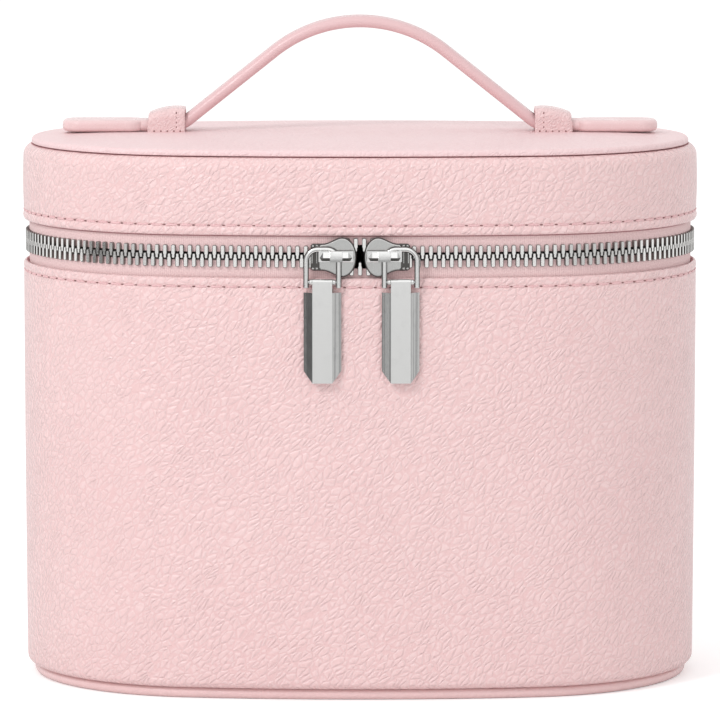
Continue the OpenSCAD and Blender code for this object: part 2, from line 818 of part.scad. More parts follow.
base_panel();
base_board();
body_skin();
body_padding();
body_board();
body_lining();
floor_board();
floor_lining();
lower_tape();
lower_teeth_front();
lower_teeth_left();
lower_teeth_right();
end_stop(-1, -1);  // lower_stop_left
end_stop(-1, 1);  // lower_stop_right
hinge_panel();
hinge_lining();
lid_skin();
lid_padding();
lid_board();
lid_lining();
ceiling_board();
ceiling_lining();
top_panel();
top_foam();
top_board();
upper_tape();
upper_teeth_front();
upper_teeth_left();
upper_teeth_right();
end_stop(1, -1);  // upper_stop_left
end_stop(1, 1);  // upper_stop_right
keeper(-1);  // keeper_left
keeper(1);  // keeper_right
handle_cover();
handle_core();
handle_pad(-1);  // handle_pad_left
handle_pad(1);  // handle_pad_right
slider(-1);  // slider_left
slider(1);  // slider_right
bridge(-1);  // bridge_left
bridge(1);  // bridge_right
link(-1);  // link_left
link(1);  // link_right
pull_pin(-1);  // pull_pin_left
pull_pin(1);  // pull_pin_right
pull(-1);  // pull_left
pull(1);  // pull_right
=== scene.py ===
"""Dresses the oval vanity case: grained leather walls, a metal zip with two sliders, a strap handle."""

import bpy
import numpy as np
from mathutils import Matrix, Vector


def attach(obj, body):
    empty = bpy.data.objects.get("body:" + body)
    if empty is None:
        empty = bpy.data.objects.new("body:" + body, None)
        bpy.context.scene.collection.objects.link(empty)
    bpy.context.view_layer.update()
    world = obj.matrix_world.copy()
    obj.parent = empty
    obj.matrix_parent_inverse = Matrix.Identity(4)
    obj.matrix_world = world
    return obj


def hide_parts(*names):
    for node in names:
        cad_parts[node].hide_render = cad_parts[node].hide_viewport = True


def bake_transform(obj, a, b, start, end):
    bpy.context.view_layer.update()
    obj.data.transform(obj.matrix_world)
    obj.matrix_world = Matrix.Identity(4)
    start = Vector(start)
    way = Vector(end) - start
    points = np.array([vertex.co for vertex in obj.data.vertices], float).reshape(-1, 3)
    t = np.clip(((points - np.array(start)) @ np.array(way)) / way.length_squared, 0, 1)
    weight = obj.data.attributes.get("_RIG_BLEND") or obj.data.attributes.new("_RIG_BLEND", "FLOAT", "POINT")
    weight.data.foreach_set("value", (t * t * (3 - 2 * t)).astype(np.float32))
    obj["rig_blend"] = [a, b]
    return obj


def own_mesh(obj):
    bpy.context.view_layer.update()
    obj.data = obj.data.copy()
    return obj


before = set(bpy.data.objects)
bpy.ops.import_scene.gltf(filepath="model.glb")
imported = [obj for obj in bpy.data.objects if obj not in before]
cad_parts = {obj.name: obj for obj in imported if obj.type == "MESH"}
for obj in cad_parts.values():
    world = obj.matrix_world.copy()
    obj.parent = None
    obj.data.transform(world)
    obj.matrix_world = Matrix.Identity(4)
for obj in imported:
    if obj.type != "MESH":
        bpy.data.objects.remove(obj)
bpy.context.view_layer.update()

import logging
import math
from collections.abc import Callable, Iterable, Sequence
from dataclasses import dataclass
from enum import Enum

import bmesh
import bpy
from bmesh.types import BMEdge, BMesh, BMFace, BMVert
from mathutils import Matrix, Vector

LOG = logging.getLogger("vanity_case")
MM = 0.001
RUN = "surface_run"
TURN = 2 * math.pi

Colour = tuple[float, float, float, float]
Point = tuple[float, float]
Value = object
Socket = bpy.types.NodeSocket


class Slot(Enum):
    """The record's material slots."""

    GRAINED = "leather_grained"
    SMOOTH = "leather_smooth"
    TAPE = "zip_tape"
    METAL = "metal"
    LINING = "lining"
    PADDING = "padding"
    BOARD = "board"
    CORE = "strap_core"


class Named(Enum):
    """A choice whose names are parts of node names."""

    @property
    def word(self) -> str:
        """The member's name in node and body names."""
        return self.name.lower()


class Side(Named):
    """Which of a mirrored pair a piece is."""

    LEFT = -1
    RIGHT = 1


class Half(Named):
    """Which half of the zip a piece is on: the upper one moves with the lid."""

    LOWER = -1
    UPPER = 1

    @property
    def body(self) -> str:
        """The body that the half rides on."""
        return "lid" if self is Half.UPPER else "case"


# ---- Finishes ----


class Nodes:
    """One material's nodes, added one at a time and joined to its main shader."""

    def __init__(self, name: str) -> None:
        """Starts a material.

        Args:
            name: the material's name.
        """
        self.material = bpy.data.materials.new(name)
        self.material.use_nodes = True
        self.tree = self.material.node_tree
        self.shader = self.tree.nodes["Principled BSDF"]

    def feed(self, socket: Socket, value: Value) -> None:
        """Links a socket to another, or sets its value.

        Args:
            socket: the input socket.
            value: an output socket, or a plain value.
        """
        if isinstance(value, Socket):
            self.tree.links.new(value, socket)
        else:
            socket.default_value = value

    def add(self, kind: str, inputs: dict[int | str, Value], **settings: Value) -> bpy.types.Node:
        """Adds a shader node.

        Args:
            kind: the node's type, without its prefix.
            inputs: values or sockets by input name or number.
            settings: the node's own properties.

        Returns:
            The node.
        """
        node = self.tree.nodes.new(f"ShaderNode{kind}")
        for name, value in settings.items():
            setattr(node, name, value)
        for key, value in inputs.items():
            self.feed(node.inputs[key], value)
        return node

    def surface(self) -> Socket:
        """The piece's own surface map, in metres along and across it."""
        return self.add("UVMap", {}, uv_map=RUN).outputs[0]

    def place(self) -> Socket:
        """The point's place, in metres."""
        return self.add("TexCoord", {}).outputs["Object"]

    def mapped(self, vector: Value, scale: Sequence[float], turn: float = 0) -> Socket:
        """A stretched and turned pattern space."""
        return self.add("Mapping", {"Vector": vector, "Scale": scale, "Rotation": (0, 0, turn)}).outputs[0]

    def noise(self, vector: Value, scale: float, detail: float = 2, out: str = "Fac") -> Socket:
        """Smooth noise with a number of features per metre."""
        return self.add("TexNoise", {"Vector": vector, "Scale": scale, "Detail": detail}).outputs[out]

    def cells(self, vector: Value, scale: float, feature: str = "DISTANCE_TO_EDGE") -> Socket:
        """The distance inside a pattern of cells."""
        return self.add("TexVoronoi", {"Vector": vector, "Scale": scale}, feature=feature).outputs["Distance"]

    def warped(self, vector: Value, noise: Value, reach: float, rise: float = 0) -> Socket:
        """A pattern space pushed about by noise, along the surface and out of it."""
        return self.add("VectorMath", {0: noise, 1: (reach, reach, rise), 2: vector},
                        operation="MULTIPLY_ADD").outputs[0]

    def wave(self, vector: Value, scale: float, axis: str, warp: float) -> Socket:
        """Even ribs across an axis."""
        return self.add("TexWave", {"Vector": vector, "Scale": scale, "Distortion": warp},
                        wave_type="BANDS", bands_direction=axis).outputs["Fac"]

    def maths(self, operation: str, a: Value, b: Value = 0.0) -> Socket:
        """One sum."""
        return self.add("Math", {0: a, 1: b}, operation=operation).outputs[0]

    def span(self, value: Value, low: float, high: float, start: float = 0,
             end: float = 1) -> Socket:
        """A value's smooth place between two others."""
        return self.add("MapRange", {"Value": value, "From Min": low, "From Max": high, "To Min": start,
                                     "To Max": end}, interpolation_type="SMOOTHSTEP").outputs[0]

    def tint(self, factor: Value, a: Value, b: Value) -> Socket:
        """A colour between two others."""
        return self.add("Mix", {0: factor, 6: a, 7: b}, data_type="RGBA").outputs[2]

    def bump(self, height: Value, distance: float) -> Socket:
        """A relief whose height of 1 stands for a distance in metres."""
        return self.add("Bump", {"Height": height, "Distance": distance, "Strength": 1.0}).outputs[0]

    def finish(self, **sockets: Value) -> bpy.types.Material:
        """Sets the shader's sockets, named with _ for a space."""
        for name, value in sockets.items():
            self.feed(self.shader.inputs[name.replace("_", " ")], value)
        return self.material


@dataclass(frozen=True)
class Finish:
    """What every finish has: a name and the slot that it dresses."""

    name: str
    slot: Slot

    def material(self) -> bpy.types.Material:
        """The finish's material, made once."""
        return bpy.data.materials.get(self.name) or self.make()

    def make(self) -> bpy.types.Material:
        """Makes the material."""
        raise NotImplementedError


@dataclass(frozen=True)
class GrainedLeather(Finish):
    """Pebbled leather with soft creases that run on the slant, the creases darkened with painted shade and
    the pebble rims beside them lightened with painted highlight.
    """

    colour: Colour = (0.85, 0.598, 0.594, 1)
    # Crease colour: painted shade in the creases. Rim colour: painted highlight that stands for glints on the
    # pebble rims.
    crease: Colour = (0.70, 0.415, 0.42, 1)
    rim: Colour = (0.95, 0.79, 0.79, 1)
    pebble: float = 1.7 * MM
    depth: float = 0.195 * MM
    flow: float = math.radians(-43)
    roughness: float = 0.22

    def make(self) -> bpy.types.Material:
        """Makes the material.

        Returns:
            The material.
        """
        n = Nodes(self.name)
        flat = n.mapped(n.surface(), (1, 1, 1), self.flow)
        drift, shake = (n.noise(flat, scale, 1.5, "Color") for scale in (45, 520))
        loose = n.warped(n.warped(flat, drift, 0.005), shake, 0.0006)
        cell = n.cells(n.mapped(loose, (0.5, 1.0, 1)), 1 / self.pebble)
        crown = n.span(n.cells(loose, 1.7 / self.pebble, "F1"), 0.8, 0.0)
        relief = ((n.span(cell, 0.0, 0.26), 1.0), (n.span(cell, 0.0, 0.6), 0.35), (crown, 0.55),
                  (n.noise(flat, 4.2 / self.pebble, 2), 0.6))
        height: Value = 0.0
        for part, share in relief:
            height = n.maths("ADD", height, n.maths("MULTIPLY", part, share))
        # A thin band beside each crease, lightened towards the rim colour: painted highlight.
        rim = n.maths("MULTIPLY", n.span(cell, 0.04, 0.12), n.span(cell, 0.28, 0.12))
        wide = n.noise(n.surface(), 26, 2)
        # Wide noise gives the leather's own uneven tone; the cell edges add painted shade in the creases,
        # deeper for deeper grain.
        wear_and_shade = n.maths("ADD", n.span(wide, 0.35, 0.65, 0.0, 0.08),
                       n.span(cell, 0.0, 0.16, self.depth / MM, 0.0))
        tone = n.tint(wear_and_shade, self.colour, self.crease)
        return n.finish(
            Base_Color=n.tint(n.maths("MULTIPLY", rim, self.depth / (0.75 * MM)), tone, self.rim),
            Roughness=n.span(crown, 0, 1, self.roughness + 0.05, self.roughness),
            Specular_IOR_Level=0.5,
            Normal=n.bump(height, self.depth),
        )


@dataclass(frozen=True)
class SmoothLeather(Finish):
    """Smoother leather with a fine, shallow grain."""

    colour: Colour = (0.85, 0.60, 0.605, 1)
    shadow: Colour = (0.74, 0.46, 0.47, 1)
    grain: float = 0.6 * MM
    depth: float = 0.012 * MM
    roughness: float = 0.33

    def make(self) -> bpy.types.Material:
        """Makes the material.

        Returns:
            The material.
        """
        n = Nodes(self.name)
        place = n.place()
        bent = n.warped(place, n.noise(place, 60, 2, "Color"), 0.004, 0.004)
        dome = n.span(n.cells(bent, 1 / self.grain), 0, 0.3)
        soft = n.noise(place, 160, 3)
        height = n.maths("ADD", dome, n.maths("MULTIPLY", soft, 2.5))
        tone = n.tint(n.span(soft, 0.35, 0.7, 0.0, 0.16), self.colour, self.shadow)
        return n.finish(
            Base_Color=n.tint(n.span(dome, 0, 0.7, 0.22, 0.0), tone, self.shadow),
            Roughness=n.span(soft, 0.3, 0.7, self.roughness, self.roughness + 0.12),
            Normal=n.bump(height, self.depth),
        )


@dataclass(frozen=True)
class Woven(Finish):
    """Cloth with ribs one way and finer picks the other."""

    colour: Colour = (0.87, 0.65, 0.64, 1)
    hollow: Colour = (0.62, 0.39, 0.40, 1)
    rib: float = 0.62 * MM
    pick: float = 0.42 * MM
    depth: float = 0.07 * MM

    def make(self) -> bpy.types.Material:
        """Makes the material.

        Returns:
            The material.
        """
        n = Nodes(self.name)
        flat = n.surface()
        rib = n.wave(flat, TURN / 20 / self.rib, "X", 0.4)
        pick = n.wave(flat, TURN / 20 / self.pick, "Y", 0.4)
        weave = n.maths("ADD", n.maths("MULTIPLY", rib, 0.65), n.maths("MULTIPLY", pick, 0.35))
        fluff = n.noise(flat, 1900, 3)
        height = n.maths("ADD", n.maths("MULTIPLY", weave, 0.35), n.maths("MULTIPLY", fluff, 1.05))
        shade = n.span(height, 0.35, 1.0, 0.7, 0.0)
        return n.finish(
            Base_Color=n.tint(shade, self.colour, self.hollow),
            Roughness=n.span(fluff, 0.3, 0.7, 0.75, 0.9),
            Sheen_Weight=0.25,
            Sheen_Roughness=0.4,
            Normal=n.bump(height, self.depth),
        )


@dataclass(frozen=True)
class Metal(Finish):
    """Polished metal with faint drawn lines, a little wear and, where asked, broad darker streaks painted as
    dark reflection.
    """

    colour: Colour = (0.86, 0.86, 0.85, 1)
    wear_and_shade: Colour = (0.62, 0.62, 0.61, 1)
    roughness: float = 0.15
    painted_streak: float = 0.0

    def make(self) -> bpy.types.Material:
        """Makes the material.

        Returns:
            The material.
        """
        n = Nodes(self.name)
        place = n.place()
        drawn = n.noise(n.mapped(place, (1, 1, 0.03)), 5200, 2)
        cloud = n.noise(place, 420, 3)
        broad = n.noise(n.mapped(place, (1, 1, 0.01)), 900, 1)
        # The cloud gives a little wear; the broad streaks, where asked, are painted dark reflection.
        wear = n.maths("ADD", n.span(cloud, 0.45, 0.8, 0.0, 0.15), n.span(broad, 0.4, 0.62, 0.0, self.painted_streak))
        shine = n.maths("ADD", n.span(cloud, 0.35, 0.65, self.roughness, self.roughness + 0.03),
                        n.maths("MULTIPLY", drawn, 0.05))
        return n.finish(
            Base_Color=n.tint(wear, self.colour, self.wear_and_shade),
            Metallic=1.0,
            Roughness=shine,
            Normal=n.bump(drawn, 0.0012 * MM),
        )


@dataclass(frozen=True)
class Matt(Finish):
    """A plain matt stuff with mottled colour and a rough face, such as board, foam or thread."""

    colour: Colour = (0.5, 0.5, 0.5, 1)
    mottle: Colour = (0.4, 0.4, 0.4, 1)
    speck: float = 0.8 * MM
    depth: float = 0.05 * MM
    roughness: float = 0.8

    def make(self) -> bpy.types.Material:
        """Makes the material.

        Returns:
            The material.
        """
        n = Nodes(self.name)
        place = n.place()
        speck = n.noise(place, 1 / self.speck, 4)
        cloud = n.noise(place, 60, 2)
        mix = n.maths("MULTIPLY", n.span(speck, 0.35, 0.7), n.span(cloud, 0.2, 0.8, 0.5, 1.0))
        return n.finish(
            Base_Color=n.tint(mix, self.colour, self.mottle),
            Roughness=n.span(speck, 0.3, 0.7, self.roughness, self.roughness + 0.1),
            Normal=n.bump(speck, self.depth),
        )


WALL_LEATHER = GrainedLeather("wall_leather", Slot.GRAINED)
TOP_LEATHER = GrainedLeather("top_leather", Slot.SMOOTH, colour=(0.87, 0.645, 0.655, 1),
                             pebble=1.3 * MM, depth=0.11 * MM, roughness=0.34)
BASE_LEATHER = GrainedLeather("base_leather", Slot.SMOOTH, pebble=1.2 * MM, depth=0.05 * MM)
KEEPER_LEATHER = GrainedLeather("keeper_leather", Slot.GRAINED, pebble=0.95 * MM, depth=0.12 * MM,
                                colour=(0.83, 0.60, 0.60, 1), crease=(0.74, 0.48, 0.48, 1))
STRAP_LEATHER = SmoothLeather("strap_leather", Slot.SMOOTH, colour=(0.75, 0.52, 0.53, 1), roughness=0.27)
PAD_LEATHER = SmoothLeather("pad_leather", Slot.SMOOTH, colour=(0.82, 0.62, 0.62, 1), roughness=0.25,
                            depth=0.009 * MM)
TAPE_CLOTH = Woven("zip_tape_cloth", Slot.TAPE)
LINING_CLOTH = Woven("lining_cloth", Slot.LINING, colour=(0.80, 0.64, 0.61, 1),
                     hollow=(0.58, 0.42, 0.40, 1), rib=0.5 * MM, pick=0.5 * MM, depth=0.05 * MM)
SLIDER_METAL = Metal("slider_metal", Slot.METAL, colour=(0.60, 0.60, 0.59, 1),
                     wear_and_shade=(0.45, 0.45, 0.44, 1), roughness=0.17)
PULL_METAL = Metal("pull_metal", Slot.METAL)
# The pull's side facets: broad darker streaks painted as dark reflection.
FACET_REFLECTION_METAL = Metal("facet_metal", Slot.METAL, wear_and_shade=(0.40, 0.40, 0.40, 1), painted_streak=0.6)
# Dark metal put on edges, undersides and flanks: painted shade and dark reflection that outline the metal
# parts.
PAINTED_SHADE_METAL = Metal("painted_shade_metal", Slot.METAL, colour=(0.115, 0.11, 0.105, 1),
                    wear_and_shade=(0.06, 0.06, 0.06, 1), roughness=0.3)
TOOTH_METAL = Metal("tooth_metal", Slot.METAL, colour=(0.97, 0.96, 0.94, 1), wear_and_shade=(0.8, 0.79, 0.78, 1),
                    roughness=0.2)
# Dark metal on the sides and eased edges of the teeth: painted shade and dark reflection.
TOOTH_PAINTED_SHADE = Metal("tooth_painted_shade", Slot.METAL, colour=(0.26, 0.25, 0.24, 1), wear_and_shade=(0.16, 0.16, 0.15, 1),
                    roughness=0.3)
# Dark rose on the hidden sides of the hems, under the top's rim and on the tape under the lid's hem: painted
# shade and painted shadow.
PAINTED_SHADE_EDGE = Matt("leather_painted_shade", Slot.GRAINED, colour=(0.50, 0.25, 0.26, 1), mottle=(0.38, 0.17, 0.18, 1),
                speck=0.3 * MM, depth=0.02 * MM, roughness=0.7)
THREAD = Matt("pink_thread", Slot.TAPE, colour=(0.84, 0.56, 0.57, 1), mottle=(0.66, 0.38, 0.40, 1),
              speck=0.25 * MM, depth=0.03 * MM, roughness=0.55)
# Dark dots at the needle holes: painted shade in the hollow of each hole.
NEEDLE_HOLE_SHADE = Matt("needle_hole", Slot.TAPE, colour=(0.27, 0.12, 0.12, 1),
                   mottle=(0.16, 0.06, 0.06, 1), roughness=0.9)
BOARD = Matt("grey_board", Slot.BOARD, colour=(0.36, 0.27, 0.19, 1), mottle=(0.26, 0.18, 0.12, 1))
FOAM = Matt("pale_foam", Slot.PADDING, colour=(0.88, 0.85, 0.79, 1), mottle=(0.76, 0.72, 0.64, 1),
            speck=1.2 * MM, depth=0.2 * MM, roughness=0.85)
CORE = Matt("strap_core_rubber", Slot.CORE, colour=(0.30, 0.27, 0.25, 1),
            mottle=(0.22, 0.20, 0.18, 1), roughness=0.6)


# ---- Mesh tools ----


def arc(x: float, z: float, radius: float, start: float, end: float, steps: int) -> list[Point]:
    """Points on an arc."""
    angles = [math.radians(start + (end - start) * i / steps) for i in range(steps + 1)]
    return [(x + radius * math.cos(a), z + radius * math.sin(a)) for a in angles]


def ease(t: float) -> float:
    """A smooth step from 0 to 1."""
    t = min(1.0, max(0.0, t))
    return t * t * (3 - 2 * t)


class Sweep:
    """A section carried along a path by spinning its last ring on."""

    def __init__(self, section: Iterable[Vector], closed: bool = True) -> None:
        """Starts from the first ring.

        Args:
            section: the ring's points, in metres.
            closed: whether the last point joins the first.
        """
        self.bm = bmesh.new()
        layer = self.bm.verts.layers.float.new("run")
        points = [Vector(p) for p in section]
        verts = [self.bm.verts.new(p) for p in points]
        run = 0.0
        for i, vert in enumerate(verts):
            run += (points[i] - points[i - 1]).length if i else 0.0
            vert[layer] = run
        pairs = list(zip(verts, verts[1:])) + ([(verts[-1], verts[0])] if closed else [])
        self.last: list[BMVert | BMEdge] = [*verts, *(self.bm.edges.new(p) for p in pairs)]

    def spin(self, centre: Sequence[float], axis: Sequence[float], angle: float, steps: int,
             move: Sequence[float] = (0, 0, 0)) -> "Sweep":
        """Carries the ring round a centre, or along a line.

        Args:
            centre: a point of the axis, in metres.
            axis: the axis.
            angle: the turn, in radians.
            steps: the number of steps.
            move: the whole move beside the turn, in metres.

        Returns:
            The sweep itself.
        """
        self.last = bmesh.ops.spin(self.bm, geom=self.last, cent=centre, axis=axis, angle=angle,
                                   dvec=Vector(move) / steps, steps=steps)["geom_last"]
        return self

    def straight(self, move: Sequence[float], steps: int = 1) -> "Sweep":
        """Carries the ring along a line, in metres."""
        return self.spin((0, 0, 0), (0, 0, 1), 0.0, steps, move)

    def sealed(self) -> BMesh:
        """The mesh with its ends closed and its faces turned out."""
        return sealed(self.bm)


def sealed(bm: BMesh) -> BMesh:
    """Closes a mesh's open ends and turns its faces out.

    Args:
        bm: the mesh.

    Returns:
        The same mesh.
    """
    bmesh.ops.remove_doubles(bm, verts=bm.verts, dist=1e-6)
    bmesh.ops.holes_fill(bm, edges=bm.edges, sides=0)
    bmesh.ops.recalc_face_normals(bm, faces=bm.faces)
    return bm


def slab(outline: Sequence[Point], low: float, high: float) -> BMesh:
    """A flat outline with a thickness.

    Args:
        outline: the outline, in millimetres.
        low: the height of its back.
        high: the height of its face.

    Returns:
        The mesh, in metres.
    """
    bm = bmesh.new()
    face = bm.faces.new([bm.verts.new((x * MM, y * MM, low * MM)) for x, y in outline])
    made = bmesh.ops.extrude_face_region(bm, geom=[face])
    verts = [g for g in made["geom"] if isinstance(g, BMVert)]
    bmesh.ops.translate(bm, verts=verts, vec=(0, 0, (high - low) * MM))
    bmesh.ops.recalc_face_normals(bm, faces=bm.faces)
    return bm


def box(x0: float, x1: float, y0: float, y1: float, low: float, high: float) -> BMesh:
    """A block between two corners, in millimetres."""
    return slab([(x0, y0), (x1, y0), (x1, y1), (x0, y1)], low, high)


def shift(x: float, y: float, z: float) -> Matrix:
    """A move, in millimetres."""
    return Matrix.Translation((x * MM, y * MM, z * MM))


def middle(face: BMFace) -> Vector:
    """The middle of a face, in millimetres."""
    return face.calc_center_median() / MM


def round_edges(bm: BMesh, size: float, segments: int = 2, sharper: float = 40,
                chosen: Callable[[BMEdge], bool] | None = None) -> BMesh:
    """Rounds a mesh's sharp edges.

    Args:
        bm: the mesh.
        size: the rounding's width, in millimetres.
        segments: the faces across it.
        sharper: the least angle of an edge that is rounded, in degrees.
        chosen: a test that an edge must also pass.

    Returns:
        The same mesh.
    """
    limit = math.radians(sharper)
    edges = [e for e in bm.edges if len(e.link_faces) == 2 and e.calc_face_angle(0) > limit
             and (chosen is None or chosen(e))]
    bmesh.ops.bevel(bm, geom=edges, offset=size * MM, offset_type="OFFSET", affect="EDGES",
                    segments=segments, profile=0.5, material=-1, clamp_overlap=True)
    return bm


def split(bm: BMesh, at: Sequence[float], across: Sequence[float]) -> None:
    """Cuts a mesh's faces apart along a plane through a point, in millimetres."""
    bmesh.ops.bisect_plane(bm, geom=[*bm.verts, *bm.edges, *bm.faces], plane_co=[c * MM for c in at],
                           plane_no=across)


def level_faces(bm: BMesh, least: float) -> BMesh:
    """Gives each large flat face a narrow rim, so that it shades flat beside its rounded edges.

    Args:
        bm: the mesh.
        least: the least area of such a face, in square millimetres.

    Returns:
        The same mesh.
    """
    large = [f for f in bm.faces if f.calc_area() > least * MM * MM]
    bmesh.ops.inset_individual(bm, faces=large, thickness=0.06 * MM)
    return bm


def joined(*parts: BMesh) -> BMesh:
    """Puts several meshes in one.

    Args:
        parts: the meshes, which are used up.

    Returns:
        The mesh of them all.
    """
    whole = bmesh.new()
    for part in parts:
        held = bpy.data.meshes.new("held")
        part.to_mesh(held)
        part.free()
        whole.from_mesh(held)
        bpy.data.meshes.remove(held)
    return whole


def moved(bm: BMesh, matrix: Matrix) -> BMesh:
    """Moves a mesh, and keeps its faces turned out.

    Args:
        bm: the mesh.
        matrix: the move.

    Returns:
        The same mesh.
    """
    bmesh.ops.transform(bm, matrix=matrix, verts=bm.verts)
    if matrix.determinant() < 0:
        bmesh.ops.reverse_faces(bm, faces=bm.faces)
    return bm


def rod(radius: float, length: float, axis: str, bevel: float = 0.1, segments: int = 24) -> BMesh:
    """A round bar with eased ends, its middle at the origin.

    Args:
        radius: its radius, in millimetres.
        length: its length, in millimetres.
        axis: X, Y or Z.
        bevel: the easing of its ends.
        segments: the faces round it.

    Returns:
        The mesh.
    """
    turn = {"X": Matrix.Rotation(math.pi / 2, 4, "Y"), "Y": Matrix.Rotation(math.pi / 2, 4, "X"),
            "Z": Matrix.Identity(4)}[axis]
    bm = bmesh.new()
    bmesh.ops.create_cone(bm, cap_ends=True, segments=segments, radius1=radius * MM,
                          radius2=radius * MM, depth=length * MM, matrix=turn)
    return round_edges(bm, bevel, 2, 60)


def kept(name: str, bm: BMesh, *materials: bpy.types.Material) -> bpy.types.Mesh:
    """Keeps a mesh under a name.

    Args:
        name: its name.
        bm: the mesh, which is used up.
        materials: its materials.

    Returns:
        The kept mesh.
    """
    mesh = bpy.data.meshes.new(name)
    bm.to_mesh(mesh)
    bm.free()
    for material in materials:
        mesh.materials.append(material)
    return mesh


def hung(name: str, data: bpy.types.ID) -> bpy.types.Object:
    """Puts a mesh, a light or a camera in the scene.

    Args:
        name: the object's name.
        data: what it shows.

    Returns:
        The object.
    """
    made = bpy.data.objects.new(name, data)
    bpy.context.scene.collection.objects.link(made)
    return made


@dataclass(frozen=True)
class Stamp:
    """A small shape that is put down many times."""

    shape: bpy.types.Mesh

    def press(self, bm: BMesh, places: Iterable[Matrix], material: int = 0) -> None:
        """Puts the shape down at each place.

        Args:
            bm: the mesh that takes the copies.
            places: where each copy goes.
            material: the number of its material.
        """
        for matrix in places:
            verts, faces = len(bm.verts), len(bm.faces)
            bm.from_mesh(self.shape)
            bm.verts.ensure_lookup_table()
            bm.faces.ensure_lookup_table()
            fresh = bm.faces[faces:]
            bmesh.ops.transform(bm, matrix=matrix, verts=bm.verts[verts:])
            if matrix.determinant() < 0:
                bmesh.ops.reverse_faces(bm, faces=fresh)
            for face in fresh:
                face.material_index = max(face.material_index, material)


# ---- The oval plan ----


